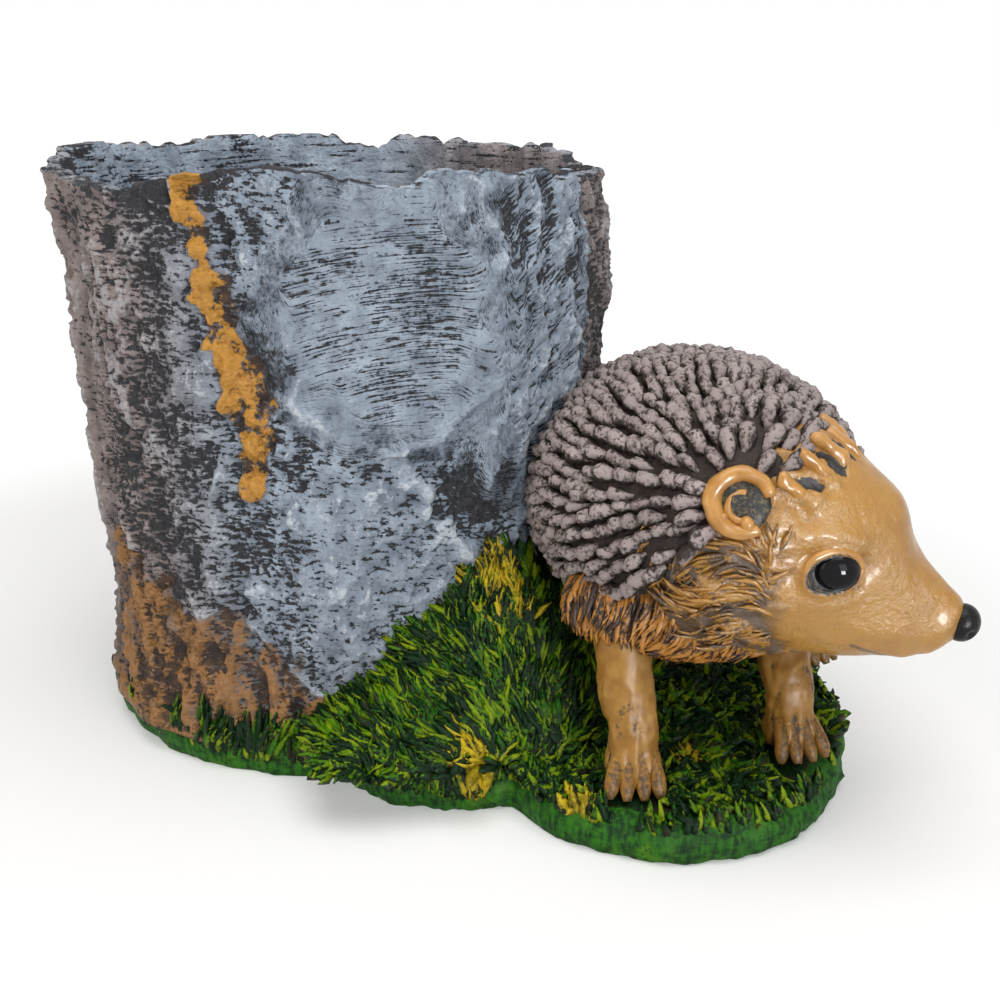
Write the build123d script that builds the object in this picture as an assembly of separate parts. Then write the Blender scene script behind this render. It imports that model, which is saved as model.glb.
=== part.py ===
from build123d import *
import os
from math import asin, cos, exp, pi, radians, sin, sqrt, tau

# A cast planter: a hollow tree stump for the plant, a turf base, and a hedgehog that stands on the
# turf with its flank against the stump and its head turned to its left.
# The origin is on the resting face, on the axis of the drain hole. +X runs from the stump towards
# the hedgehog, +Z is up, and the hedgehog's chest faces -Y.

# Stump pot
rim_half_width = 97.0
rim_half_depth = 80.0
stump_foot_half_width = 90.0
stump_foot_half_depth = 73.0
stump_height = 201.0  # from the stump's foot to the middle of the torn rim
rim_tear = 8.0  # the rim's highest point above that middle
stump_wall = 8.0
stump_floor = 14.0
drain_radius = 7.5
bark_wave = 2.4  # how far the bark's broad flutes stand out
rib_height = 1.8
rib_half_width = 9.0
scoop_depth = 2.8  # the broad hollow high on the front
scoop_half_width = 37.0
scoop_half_height = 42.0
stump_lean = 5.0  # how far the stump's belly leans over towards the hedgehog

# Turf base
turf_thickness = 16.0
turf_margin = 4.0  # turf that shows round the stump's foot
turf_shoulder = 7.0  # how far the top of the turf draws in from its edge
turf_undercut = 2.0  # how far its foot draws in
turf_wave = 2.2
seat_depth = 6.0  # how deep the stump's foot sits in the turf
saddle_half_width = 56.0  # the turf between stump and hedgehog
saddle_half_depth = 50.0
saddle_back = 10.0  # from the bank's middle back towards the stump's axis
lobe_half_width = 69.5  # the turf under the hedgehog
lobe_half_depth = 79.0
lobe_back = 9.0  # from the middle of the body back towards the stump
bank_half_width = 36.0
bank_half_depth = 36.0
bank_height = 60.0  # the grassy bank between stump and hedgehog, above the turf
apron_half_width = 60.0
apron_half_depth = 45.0
apron_height = 32.0  # the lower part of the bank, in front of the stump
apron_back = 14.0  # from the bank's middle back towards the stump's axis

# Hedgehog's body
coat_half_width = 57.0
coat_half_length = 65.0
coat_half_height = 48.0
coat_thickness = 5.5
quill_height = 1.6  # how far a clump of quills stands above or below the coat's mean surface
body_height = 101.0  # from the ground to the middle of the body
body_forward = 50.0  # from the stump's axis to the middle of the body
body_yaw = 12.0  # degrees, from -Y towards +X
skirt_drop = 35.0  # from the middle of the body down to where the quills end
chest_half_width = 40.0
chest_half_length = 24.0
chest_half_height = 19.0
chest_drop = 26.0  # from the middle of the body to the middle of the chest
chest_forward = 32.0
chest_aside = 4.0

# Head
skull_forward = 38.0  # from the middle of the body to the middle of the skull
skull_aside = 4.5
muzzle_length = 77.0  # from the middle of the skull to the end of the muzzle
skull_half_width = 34.0
skull_half_height = 40.0
head_turn = 20.0  # degrees, from +X towards -Y
head_droop = 15.5  # degrees below level
nose_radius = 5.3
eye_radius = 6.3
eye_back = 42.0  # from the end of the muzzle to the eye
eye_rise = 11.0  # above the head's own axis
eye_bulge = 2.8  # how far the eye stands out of the cheek
lid_radius = 1.5
ear_radius = 11.0
ear_half_thickness = 5.0
ear_stand = 2.5  # how far the right ear's middle stands off the side of the head
ear_back = 74.0  # from the end of the muzzle to the ear
ear_rise = 23.0
ear_tilt = 62.0  # degrees, from facing the crown towards facing sideways
hood_back = 8.0  # from the middle of the skull back to the front edge of the quills round the face
hood_slant = 27.0  # degrees that this edge leans forward towards the crown
crown_quill_radius = 3.0
crown_quill_length = 19.0
crown_back = 48.0  # from the end of the muzzle to the roots of the crown quills
crown_spread = 17.0  # degrees between two crown quills, round the head
crown_lift = 22.0  # degrees that a crown quill rises from the crown

# Legs and the wires inside them
ankle_radius = 8.8
thigh_radius = 12.0
leg_top_drop = 23.0  # from the middle of the body down to the middle of a leg's top
paw_half_width = 11.0
paw_half_length = 10.5
paw_half_height = 9.0
toe_half_width = 2.7
toe_half_length = 6.5
toe_half_height = 3.8
toe_splay = 9.0  # degrees, of the outermost toes
wire_radius = 1.5
wire_grip = 7.0  # how deep each wire goes into the turf, and past a leg's top into the body
neck_wire_length = 44.0

# Fits
clearance = 0.3
overrun = 1.0

# Counts
stump_points = 56
turf_points = 24
plain_points = 12
quill_rows = 22
points_per_row = 4
coat_rings = 13
crown_quill_count = 5
toe_count = 4

# Each level: share of the stump's height, share of the way from the foot's size to the rim's,
# share of the lean
stump_level_shares = (
    (0.0, 0.5, 0.0), (0.1, 0.2, 0.0), (0.22, 0.0, 0.1), (0.42, 0.4, 0.5), (0.62, 0.9, 0.9), (0.82, 1.05, 1.0),
    (1.0, 1.0, 0.2))
# Each wave: waves round, phase in turns, turns gained up the stump, share of the wave's height
bark_wave_shares = ((5, 0.10, 0.10, 0.65), (9, 0.35, -0.15, 0.35))
# Where ribs run up the bark, in turns round, and their heights as shares of the rib's height
bark_rib_shares = (
    (0.10, 1.0), (0.215, 0.9), (0.325, 1.0), (0.42, 0.9), (0.505, 1.0), (0.565, 0.6), (0.62, 0.8), (0.65, -0.7),
    (0.685, 0.7), (0.70, -0.8), (0.735, 0.6), (0.86, 0.7), (0.885, -0.8), (0.925, 0.8))
# The hollow's place: turns round, and share of the stump's height
scoop_place_shares = (0.794, 0.78)
turf_wave_shares = ((4, 0.2, 0.0, 0.6), (7, 0.7, 0.0, 0.4))
# The rim's height round the stump, as shares of the tear, from +X towards +Y
rim_shares = (
    -0.7, -0.6, -0.55, 0.0, 0.15, 0.0, -0.1, 0.0, 0.1, 0.05, 0.3, -0.1, 0.0, 0.5, 0.5, 0.3,
    0.6, 0.3, -0.1, 0.0, 0.2, 0.3, 0.45, 0.5, 0.4, 0.1, -0.1, -0.3, -0.35, -0.5, -0.65, -0.8,
    -0.35, -0.05, 0.1, 0.3, 0.3, -0.05, -0.4, -0.35, 0.1, -0.05, -0.15, -0.1, -0.5, -0.4, -0.6, -0.7)
# Each level of the turf: share of its thickness, shares of the undercut and of the shoulder
turf_level_shares = ((0.0, 1.0, 0.0), (0.4, 0.0, 0.0), (0.75, 0.0, 0.35), (1.0, 0.0, 1.0))
# Each section of the head: share of the muzzle's length from the skull, then shares of the
# skull's half height above and below the axis, and of its half width
head_section_shares = (
    (-0.21, 0.80, 0.80, 0.85),
    (0.0, 1.0, 0.98, 1.0),
    (0.28, 1.07, 0.78, 0.90),
    (0.45, 0.93, 0.69, 0.77),
    (0.63, 0.67, 0.60, 0.57),
    (0.77, 0.43, 0.48, 0.40),
    (0.89, 0.27, 0.36, 0.27),
    (1.0, 0.13, 0.14, 0.13))
# Each section of a leg: share of the way from the turf to the leg's top, and share of the way
# from the ankle's radius to the thigh's
leg_section_shares = ((0.0, 0.0), (0.35, 0.0), (0.65, 0.15), (1.0, 1.0))
# Each leg's paw and its top, as shares of the body's half width and half length from its middle
leg_place_shares = {
    "front_right_leg": ((-0.42, -0.80), (-0.50, -0.69)),
    "front_left_leg": ((0.58, -0.46), (0.52, -0.20)),
    "hind_left_leg": ((0.92, 0.60), (0.52, 0.42)),
    "hind_right_leg": ((-0.10, 0.62), (-0.04, 0.48))}
paw_yaw = {"front_right_leg": 0.0, "front_left_leg": 14.0, "hind_left_leg": 30.0, "hind_right_leg": 0.0}

# Sizes that follow from those above
seat_height = turf_thickness - seat_depth
rim_height = seat_height + stump_height
cavity_floor = seat_height + stump_floor
flank_gap = quill_height + clearance
skirt_height = body_height - skirt_drop
leg_reach = body_height - leg_top_drop
stump_girth = tau * sqrt(rim_half_width * rim_half_depth)


def ripple(turn, rise, waves):
    """A sum of sine waves, about -1 to 1, at a share of a turn round and a share of the way up."""
    return sum(
        share * sin(tau * (count * turn + phase + twist * rise))
        for count, phase, twist, share in waves)


def level_at(place, table):
    """The values of a table at a place along its first column, straight between its rows."""
    for below, above in zip(table, table[1:]):
        if place <= above[0]:
            break
    way = (place - below[0]) / (above[0] - below[0])
    return [low + (high - low) * way for low, high in zip(below[1:], above[1:])]


def closed_spline(outline):
    """A smooth closed line through points, with even knots, so that rings loft into a light surface."""
    count = len(outline)
    knots = [i / count for i in range(count + 1)]
    return Wire([Edge.make_spline(outline, periodic=True, parameters=knots)])


def ring(centre, across, upward, points, swell=None):
    """A closed smooth outline about a centre, pushed outwards by swell(turn), which is a length."""
    outline = []
    for step in range(points):
        turn = step / points
        spoke = across * cos(tau * turn) + upward * sin(tau * turn)
        push = swell(turn) if swell else 0.0
        outline.append(centre + spoke + spoke.normalized() * push)
    return closed_spline(outline)


def ovoid(half_x, half_y, half_z, grow=0.0):
    """A ball stretched to three half sizes, everywhere about the same amount larger by grow."""
    return scale(Sphere(1), by=(half_x + grow, half_y + grow, half_z + grow))


def faceted(corners, triangles):
    """A closed solid of flat triangles."""
    return Solid(Shell([Face(Wire.make_polygon([corners[i] for i in triangle])) for triangle in triangles]))


def rod(start, end, radius):
    """A straight round rod between two points."""
    return Plane(origin=start, z_dir=end - start).location * extrude(Circle(radius), (end - start).length)


def stump_section(height):
    """The stump's middle, its half width and its half depth at a height above the ground."""
    blend, lean = level_at((height - seat_height) / stump_height, stump_level_shares)
    half_width = stump_foot_half_width + (rim_half_width - stump_foot_half_width) * blend
    half_depth = stump_foot_half_depth + (rim_half_depth - stump_foot_half_depth) * blend
    return stump_lean * lean, half_width, half_depth


def bark(turn, height):
    """How far the bark stands out at a share of a turn round, at a height above the ground."""
    rise = (height - seat_height) / stump_height
    ribs = 0.0
    for place, share in bark_rib_shares:
        aside = ((turn - place + 0.5) % 1 - 0.5) * stump_girth
        ribs += share * exp(-((aside / rib_half_width) ** 2))
    turn_share, height_share = scoop_place_shares
    aside = ((turn - turn_share + 0.5) % 1 - 0.5) * stump_girth / scoop_half_width
    above = (rise - height_share) * stump_height / scoop_half_height
    hollow = max(0.0, 1 - aside ** 2 - above ** 2)
    return bark_wave * ripple(turn, rise, bark_wave_shares) + rib_height * ribs - scoop_depth * hollow


def stump_blank(bottom, top, grow):
    """The stump's outside between two heights, everywhere the same amount larger or smaller."""
    levels = [seat_height + row[0] * stump_height for row in stump_level_shares]
    levels = [bottom] + [level for level in levels if bottom + overrun < level < top - overrun] + [top]
    rings = []
    for level in levels:
        middle, half_width, half_depth = stump_section(level)
        rings.append(ring(
            Vector(middle, 0, level), Vector(half_width, 0, 0), Vector(0, half_depth, 0), stump_points,
            lambda turn: bark(turn, level) + grow))
    return Solid.make_loft(rings)


def above_rim(top):
    """The space above the torn rim: flat facets from the stump's axis to a jagged edge outside it."""
    reach = rim_half_width + bark_wave + stump_wall
    count = len(rim_shares)
    low = []
    for i, share in enumerate(rim_shares):
        turn = i / count
        low.append(Vector(reach * cos(tau * turn), reach * sin(tau * turn), rim_height + rim_tear * share))
    high = [Vector(corner.X, corner.Y, top) for corner in low]
    middle = [Vector(0, 0, rim_height), Vector(0, 0, top)]
    triangles = []
    for i in range(count):
        j = (i + 1) % count
        triangles += [
            (2 * count, i, j), (i, count + j, j), (i, count + i, count + j),
            (2 * count + 1, count + j, count + i)]
    return faceted(low + high + middle, triangles)


def drain_hole(bottom, top):
    return Pos(0, 0, (bottom + top) / 2) * Cylinder(drain_radius, top - bottom)


def stump_pot():
    top = rim_height + rim_tear + overrun
    pot = stump_blank(seat_height, top, 0.0)
    pot -= stump_blank(cavity_floor, top + overrun, -stump_wall)
    pot -= above_rim(top + overrun * 2)
    return pot - drain_hole(seat_height - overrun, cavity_floor + overrun)


# Where the hedgehog stands against the stump
middle_x, half_width_there, half_depth_there = stump_section(body_height)
flank_turn = -asin(body_forward / half_depth_there) / tau
flank_x = middle_x + half_width_there * cos(tau * flank_turn) + bark(flank_turn, body_height)
body_centre = Vector(flank_x + flank_gap + coat_half_width, -body_forward, body_height)
body_frame = Pos(body_centre) * Rot(0, 0, body_yaw)
bank_centre = Vector(flank_x - bank_half_width / 3, -body_forward, turf_thickness)

# Where the head points, and the frame of its pieces: +X ahead, +Y to its left, +Z to its crown
ahead = Vector(1, 0, 0).rotate(Axis.Y, head_droop).rotate(Axis.Z, -head_turn)
skull_centre = body_centre + Vector(skull_aside, -skull_forward, 0)
crownward = Vector(0, 0, 1).rotate(Axis.Y, head_droop).rotate(Axis.Z, -head_turn)
head_frame = Plane(origin=skull_centre, x_dir=ahead, z_dir=crownward).location


def turf_pad(x, y, half_width, half_depth):
    """A low pad of turf, drawn in a little at its foot and more at its top."""
    rings = []
    for height_share, undercut_share, shoulder_share in turf_level_shares:
        inset = turf_undercut * undercut_share + turf_shoulder * shoulder_share
        rings.append(ring(
            Vector(x, y, turf_thickness * height_share),
            Vector(half_width - inset, 0, 0), Vector(0, half_depth - inset, 0), turf_points,
            lambda turn: turf_wave * ripple(turn, 0.0, turf_wave_shares)))
    return Solid.make_loft(rings)


def bank():
    """The grassy bank that leans on the stump beside the hedgehog."""
    ground = Pos(bank_centre.X, bank_centre.Y, -bank_height / 2) * Box(
        apron_half_width * 3, apron_half_depth * 3, bank_height + turf_thickness)
    apron_centre = bank_centre - Vector(apron_back, 0, 0)
    apron = Pos(apron_centre) * ovoid(apron_half_width, apron_half_depth, apron_height)
    return Pos(bank_centre) * ovoid(bank_half_width, bank_half_depth, bank_height) + apron - ground


def beside_body(width_share, length_share, height):
    """A point at shares of the body's half width and half length from its middle."""
    return Vector(
        body_centre.X + width_share * coat_half_width,
        body_centre.Y + length_share * coat_half_length, height)


def leg_ends(name):
    """The middle of a leg's paw on the turf, and the middle of the leg's top."""
    paw_shares, top_shares = leg_place_shares[name]
    return beside_body(*paw_shares, turf_thickness), beside_body(*top_shares, leg_reach)


def leg_wire(name, radius, extra):
    """The straight wire in a leg, from inside the turf to inside the body."""
    low, high = leg_ends(name)
    along = (high - low).normalized() * (wire_grip + extra)
    return rod(low - along, high + along, radius)


def limb(name, grow):
    """A leg without its paw, from the turf into the body."""
    low, high = leg_ends(name)
    rings = []
    for way, thigh_share in leg_section_shares:
        radius = ankle_radius + (thigh_radius - ankle_radius) * thigh_share + grow
        rings.append(ring(low + (high - low) * way, Vector(radius, 0, 0), Vector(0, radius, 0), plain_points))
    return Solid.make_loft(rings)


def leg(name):
    """A leg with its paw and toes, flat on the turf."""
    low, high = leg_ends(name)
    stance = Pos(low) * Rot(0, 0, paw_yaw[name])
    instep = stance * Pos(0, -paw_half_length / 3, 0)
    lumps = [instep * ovoid(paw_half_width, paw_half_length, paw_half_height)]
    for i in range(toe_count):
        side = i * 2 / (toe_count - 1) - 1
        place = Pos(side * (paw_half_width - toe_half_width), -paw_half_length, toe_half_height / 2)
        lumps.append(stance * place * Rot(0, 0, side * toe_splay) * ovoid(
            toe_half_width, toe_half_length, toe_half_height))
    underground = Pos(low.X, low.Y, 0) * Box(coat_half_width * 2, coat_half_length * 2, turf_thickness * 2)
    return (limb(name, 0.0) + lumps) - [underground, leg_wire(name, wire_radius + clearance, overrun)]


def trunk(grow):
    """The body under the quills."""
    inset = coat_thickness - grow
    return body_frame * ovoid(coat_half_width - inset, coat_half_length - inset, coat_half_height - inset)


def chest(grow):
    """The furry chest that bulges out below the quills, above the front legs."""
    middle = body_centre + Vector(-chest_aside, -chest_forward, -chest_drop)
    return Pos(middle) * ovoid(chest_half_width, chest_half_length, chest_half_height, grow)


def coat_point(spoke, bump):
    """A point on the coat in the body's frame, from a direction of length one and a height."""
    return Vector(
        spoke.X * (coat_half_width + bump), spoke.Y * (coat_half_length + bump),
        spoke.Z * (coat_half_height + bump))


def coat_blank():
    """The quill coat's outside: staggered clumps in rows that fan out from behind the head."""
    pole = Vector(0, -1, 0)
    rings = [Vertex(*coat_point(pole, 0.0))]
    points = quill_rows * points_per_row
    for level in range(1, coat_rings):
        polar = pi * level / coat_rings
        outline = []
        for step in range(points):
            turn = step / points
            spoke = Vector(cos(tau * turn) * sin(polar), -cos(polar), sin(tau * turn) * sin(polar))
            bump = quill_height * sin(polar) * cos(tau * turn * quill_rows + pi * level)
            outline.append(coat_point(spoke, bump))
        rings.append(closed_spline(outline))
    rings.append(Vertex(*coat_point(-pole, 0.0)))
    return body_frame * Solid.make_loft(rings)


def head_section(back):
    """The head's half width, top and bottom at a distance behind the end of the muzzle."""
    top, bottom, side = level_at(1 - back / muzzle_length, head_section_shares)
    return side * skull_half_width, top * skull_half_height, bottom * skull_half_height


def cheek(back, rise):
    """How far the head's side lies from its middle, at a distance behind the end of the muzzle."""
    half_width, top, bottom = head_section(back)
    return half_width * sqrt(1 - ((rise * 2 - top + bottom) / (top + bottom)) ** 2)


def head_blank(grow):
    """The head without its eyes: smooth sections from the back of the skull to the muzzle's end."""
    rings = []
    for place_share, top_share, bottom_share, side_share in head_section_shares:
        place = muzzle_length * place_share + grow * (place_share * 2 - 1)
        top = top_share * skull_half_height + grow
        bottom = bottom_share * skull_half_height + grow
        side = side_share * skull_half_width + grow
        rings.append(ring(
            Vector(place, 0, (top - bottom) / 2), Vector(0, side, 0), Vector(0, 0, (top + bottom) / 2),
            plain_points))
    return head_frame * Solid.make_loft(rings)


def eye_frame(side):
    """The middle of an eye, with side +1 on the hedgehog's left and -1 on its right."""
    out = cheek(eye_back, eye_rise) + eye_bulge - eye_radius
    return head_frame * Pos(muzzle_length - eye_back, side * out, eye_rise)


def eye(side, grow=0.0):
    return eye_frame(side) * Rot(90, 0, 0) * Sphere(eye_radius + grow)


def lid(side):
    """The ring of skin round an eye."""
    return eye_frame(side) * Pos(0, side * eye_radius / 4, 0) * Rot(90, 0, 0) * Torus(eye_radius, lid_radius)


def ear_frame():
    """The middle of the right ear, with +Z out of its hollow. The left one would be in the body."""
    place = Pos(muzzle_length - ear_back, -cheek(ear_back, ear_rise) - ear_stand, ear_rise)
    return head_frame * place * Rot(ear_tilt, 0, 0)


def ear(grow=0.0):
    """A round cup that stands out of the side of the head, open outwards."""
    return ear_frame() * ovoid(ear_radius, ear_radius, ear_half_thickness, grow)


def ear_bowl():
    """The hollow of the ear."""
    return ear_frame() * Pos(0, 0, ear_half_thickness) * ovoid(
        ear_radius * 3 / 4, ear_radius * 3 / 4, ear_half_thickness)


def nose():
    return head_frame * Pos(muzzle_length + nose_radius / 3, 0, nose_radius / 4) * Sphere(nose_radius)


def neck_wire(radius, extra):
    """The straight wire from the skull into the body."""
    along = (body_centre - skull_centre).normalized()
    middle = skull_centre + along * neck_wire_length / 4
    reach = along * (neck_wire_length / 2 + extra)
    return rod(middle - reach, middle + reach, radius)


def crown_quills():
    """A row of thick quills laid back over the crown, rooted in the forehead."""
    half_width, top, bottom = head_section(crown_back)
    quills = []
    for i in range(crown_quill_count):
        angle = (i - (crown_quill_count - 1) / 2) * crown_spread
        place = Pos(
            muzzle_length - crown_back - crown_quill_length / 2,
            (half_width + crown_quill_radius) * sin(radians(angle)),
            (top - bottom) / 2 + ((top + bottom) / 2 + crown_quill_radius) * cos(radians(angle)))
        stem = Cylinder(crown_quill_radius, crown_quill_length)
        quills.append(head_frame * place * Rot(-angle, 0, 0) * Rot(0, crown_lift - 90, 0) * stem)
    return quills


def hood(grow):
    """The quills that cover the back of the skull, up to a slanting edge round the face."""
    face = head_frame * Rot(0, hood_slant, 0) * Pos(muzzle_length - hood_back + grow, 0, 0) * Box(
        muzzle_length * 2, skull_half_width * 4, skull_half_height * 5)
    return head_blank(coat_thickness + grow) - face


def write(name, shape):
    """One STEP file for a piece."""
    if isinstance(shape, (list, tuple)):
        shape = Compound(children=list(shape))
    export_step(shape, f"parts/{name}.step")


def carved(blank, tools):
    """The blank with one tool after the other cut away."""
    for tool in tools:
        blank = blank - tool
    return blank


def largest(shape):
    """The largest solid of a shape, without the loose scraps that a cut can leave beside it."""
    return max(shape.solids(), key=lambda solid: solid.volume)


def build():
    """Every piece, each cut to seat on its neighbours."""
    stump_space = stump_blank(seat_height, rim_height, clearance)
    head_space = head_blank(clearance)
    limb_spaces = [limb(name, clearance) for name in leg_place_shares]
    wire_spaces = [leg_wire(name, wire_radius + clearance, overrun) for name in leg_place_shares]
    neck_space = neck_wire(wire_radius + clearance, overrun)
    body_space = body_frame * ovoid(
        coat_half_width, coat_half_length, coat_half_height, quill_height + clearance)
    gaze_spaces = [eye(-1, lid_radius * 2), eye(1, lid_radius * 2)]
    below_skirt = Pos(body_centre.X, body_centre.Y, 0) * Box(
        coat_half_width * 3, coat_half_length * 3, skirt_height * 2)

    pads = [
        turf_pad(bank_centre.X - saddle_back, bank_centre.Y, saddle_half_width, saddle_half_depth),
        turf_pad(body_centre.X - lobe_back, body_centre.Y, lobe_half_width, lobe_half_depth)]
    turf = turf_pad(0, 0, stump_foot_half_width + turf_margin, stump_foot_half_depth + turf_margin) + pads
    heap = bank() - [body_space, chest(clearance)]
    turf_tools = [stump_space, drain_hole(-overrun, seat_height + overrun)] + wire_spaces

    torso_tools = [stump_space, head_space, neck_space] + limb_spaces + wire_spaces + gaze_spaces
    coat_tools = [trunk(clearance), chest(clearance), below_skirt, stump_space, head_space, hood(clearance)]
    coat_tools += limb_spaces + [ear(clearance)] + gaze_spaces
    hood_tools = [trunk(clearance), chest(clearance), below_skirt, head_space]
    hood_tools += limb_spaces + [ear(clearance)]
    quill_tools = [head_space, body_space, hood(clearance)]
    head_tools = [eye(-1, clearance), eye(1, clearance), neck_space]

    pieces = {
        "stump_pot": stump_pot(),
        "turf_base": (turf + heap) - turf_tools,
        "torso": carved(trunk(0.0) + chest(0.0), torso_tools),
        "quill_coat": largest(coat_blank() - coat_tools),
        "quill_hood": hood(0.0) - hood_tools,
        "head": carved(head_blank(0.0) + [lid(-1), lid(1)], head_tools),
        "crown_quills": [quill - quill_tools for quill in crown_quills()],
        "nose": nose() - head_space,
        "right_ear": ear() - [ear_bowl(), head_space],
        "right_eye": eye(-1),
        "left_eye": eye(1),
        "leg_wires": [leg_wire(name, wire_radius, 0.0) for name in leg_place_shares],
        "neck_wire": neck_wire(wire_radius, 0.0)}
    for name in leg_place_shares:
        pieces[name] = leg(name) - head_space
    return pieces


os.makedirs("parts", exist_ok=True)
for piece_name, piece in build().items():
    write(piece_name, piece)
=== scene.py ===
import bpy
import numpy as np
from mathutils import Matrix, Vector


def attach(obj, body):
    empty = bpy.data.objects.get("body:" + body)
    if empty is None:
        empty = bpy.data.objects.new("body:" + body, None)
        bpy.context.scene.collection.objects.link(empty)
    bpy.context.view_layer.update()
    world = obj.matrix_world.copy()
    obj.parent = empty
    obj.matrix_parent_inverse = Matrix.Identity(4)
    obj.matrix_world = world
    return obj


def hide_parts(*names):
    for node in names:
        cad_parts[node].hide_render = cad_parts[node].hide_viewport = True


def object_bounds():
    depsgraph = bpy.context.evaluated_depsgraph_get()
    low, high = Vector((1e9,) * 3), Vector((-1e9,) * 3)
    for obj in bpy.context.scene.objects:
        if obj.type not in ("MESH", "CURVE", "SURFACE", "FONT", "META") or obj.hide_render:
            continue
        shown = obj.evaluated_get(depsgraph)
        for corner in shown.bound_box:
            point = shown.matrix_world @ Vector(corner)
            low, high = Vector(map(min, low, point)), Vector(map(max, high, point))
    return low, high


# A planter: a hollow tree stump on turf, with a hedgehog that stands against its side.
# Shapes are worked out in millimetres, in the frame's own axes; addPiece turns them into metres.

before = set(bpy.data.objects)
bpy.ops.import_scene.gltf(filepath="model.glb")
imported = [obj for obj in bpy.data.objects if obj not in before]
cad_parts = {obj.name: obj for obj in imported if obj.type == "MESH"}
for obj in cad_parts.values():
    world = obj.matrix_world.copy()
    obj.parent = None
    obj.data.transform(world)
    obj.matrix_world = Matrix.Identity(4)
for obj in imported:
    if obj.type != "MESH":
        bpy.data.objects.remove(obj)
cadSize = [list(corner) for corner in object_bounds()]
boxLow, boxHigh = [np.array(corner) * 1000 for corner in cadSize]
print("frame loaded")


# Each vector over its own length
def unit(v):
    return v / np.maximum(np.linalg.norm(v, axis=-1, keepdims=True), 1e-9)


# From 0 to 1 between two values: t²(3 - 2t)
def ease(x, low, high):
    t = np.clip((x - low) / (high - low), 0, 1)
    return t * t * (3 - 2 * t)


# 0 outside two values and 1 well inside them, eased over a width at each end
def band(x, low, rise, high, fall):
    return ease(x, low, low + rise) * ease(high - x, 0, fall)


# A hill that is 1 at no distance and fades with its square: e to the power -(distance / width)²
def hill(distance, width=1.0):
    return np.exp(-(distance / width) ** 2)


# A curve through a table: cubic pieces whose slopes are taken across both neighbours
def curve(x, xs, ys):
    xs, ys = np.asarray(xs, float), np.asarray(ys, float)
    slopes = np.gradient(ys, xs)
    i = np.clip(np.searchsorted(xs, x) - 1, 0, len(xs) - 2)
    step = xs[i + 1] - xs[i]
    t = np.clip((x - xs[i]) / step, 0, 1)
    start = ys[i] * (1 + 2 * t) + slopes[i] * step * t
    end = ys[i + 1] * (3 - 2 * t) - slopes[i + 1] * step * (1 - t)
    return start * (1 - t) ** 2 + end * t**2


lattice = {"values": 4096, "primes": (73856093, 19349663, 83492791)}


# Smooth random heights, about -1 to 1: random values on a lattice, blended between its corners. The
# primes turn a corner's three whole numbers into one place in the table of values
def grain(points, size, seed):
    table = np.random.default_rng(seed).uniform(-1, 1, lattice["values"])
    place = points / np.asarray(size, float)
    cell = np.floor(place).astype(np.int64)
    part = place - cell
    part = part * part * (3 - 2 * part)
    total = 0
    for corner in np.ndindex(2, 2, 2):
        key = (cell + corner) * lattice["primes"]
        weight = np.prod(np.where(corner, part, 1 - part), -1)
        total = total + weight * table[(key[..., 0] ^ key[..., 1] ^ key[..., 2]) & (lattice["values"] - 1)]
    return total


# Rough heights: grain, plus about half as much at half the size, and so on
def rough(points, size, seed, octaves=3):
    size = np.asarray(size, float)
    return sum(0.55**i * grain(points, size / 2**i, seed + i) for i in range(octaves))


# Sharp lines where rough heights cross zero: 1 on a line, less a rate times the height's size beside it
def creases(points, size, seed, rate):
    return 1 - np.abs(rough(points, size, seed, 2)) * rate


# Distance of points in a plane from a line through corners, and how far along it they are
def lineAt(points, corners):
    corners = np.asarray(corners, float)
    near, way = np.full(points.shape[:-1], 1e9), np.zeros(points.shape[:-1])
    for i, (start, end) in enumerate(zip(corners[:-1], corners[1:])):
        edge = end - start
        t = np.clip((points - start) @ edge / (edge @ edge), 0, 1)
        far = np.linalg.norm(points - start - t[..., None] * edge, axis=-1)
        way = np.where(far < near, (i + t) / (len(corners) - 1), way)
        near = np.minimum(near, far)
    return near, way


# A surface from a grid of points: columns wrap round, rows wrap too or end in a point at each end
def gridPart(points, marks=None, wrapRows=False):
    rows, columns = points.shape[:2]
    index = np.arange(rows * columns).reshape(rows, columns)
    upper = index if wrapRows else index[:-1]
    lower = np.roll(index, -1, 0) if wrapRows else index[1:]
    quads = np.stack([upper, np.roll(upper, -1, 1), np.roll(lower, -1, 1), lower], -1).reshape(-1, 4)
    flat = points.reshape(-1, 3)
    values = {key: np.asarray(value, float).reshape(len(flat), -1) for key, value in (marks or {}).items()}
    triangles = np.zeros((0, 3), int)
    if not wrapRows:
        ends = [index[0], index[-1]]

        def withTips(value):
            return np.vstack([value] + [value[end].mean(0) for end in ends])

        tips = [np.full(columns, len(flat) + i) for i in range(2)]
        flat, values = withTips(flat), {key: withTips(value) for key, value in values.items()}
        triangles = np.vstack([
            np.stack([np.roll(ends[0], -1), ends[0], tips[0]], -1),
            np.stack([ends[1], np.roll(ends[1], -1), tips[1]], -1)])
    return {"points": flat, "quads": quads, "triangles": triangles, "marks": values}


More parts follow.
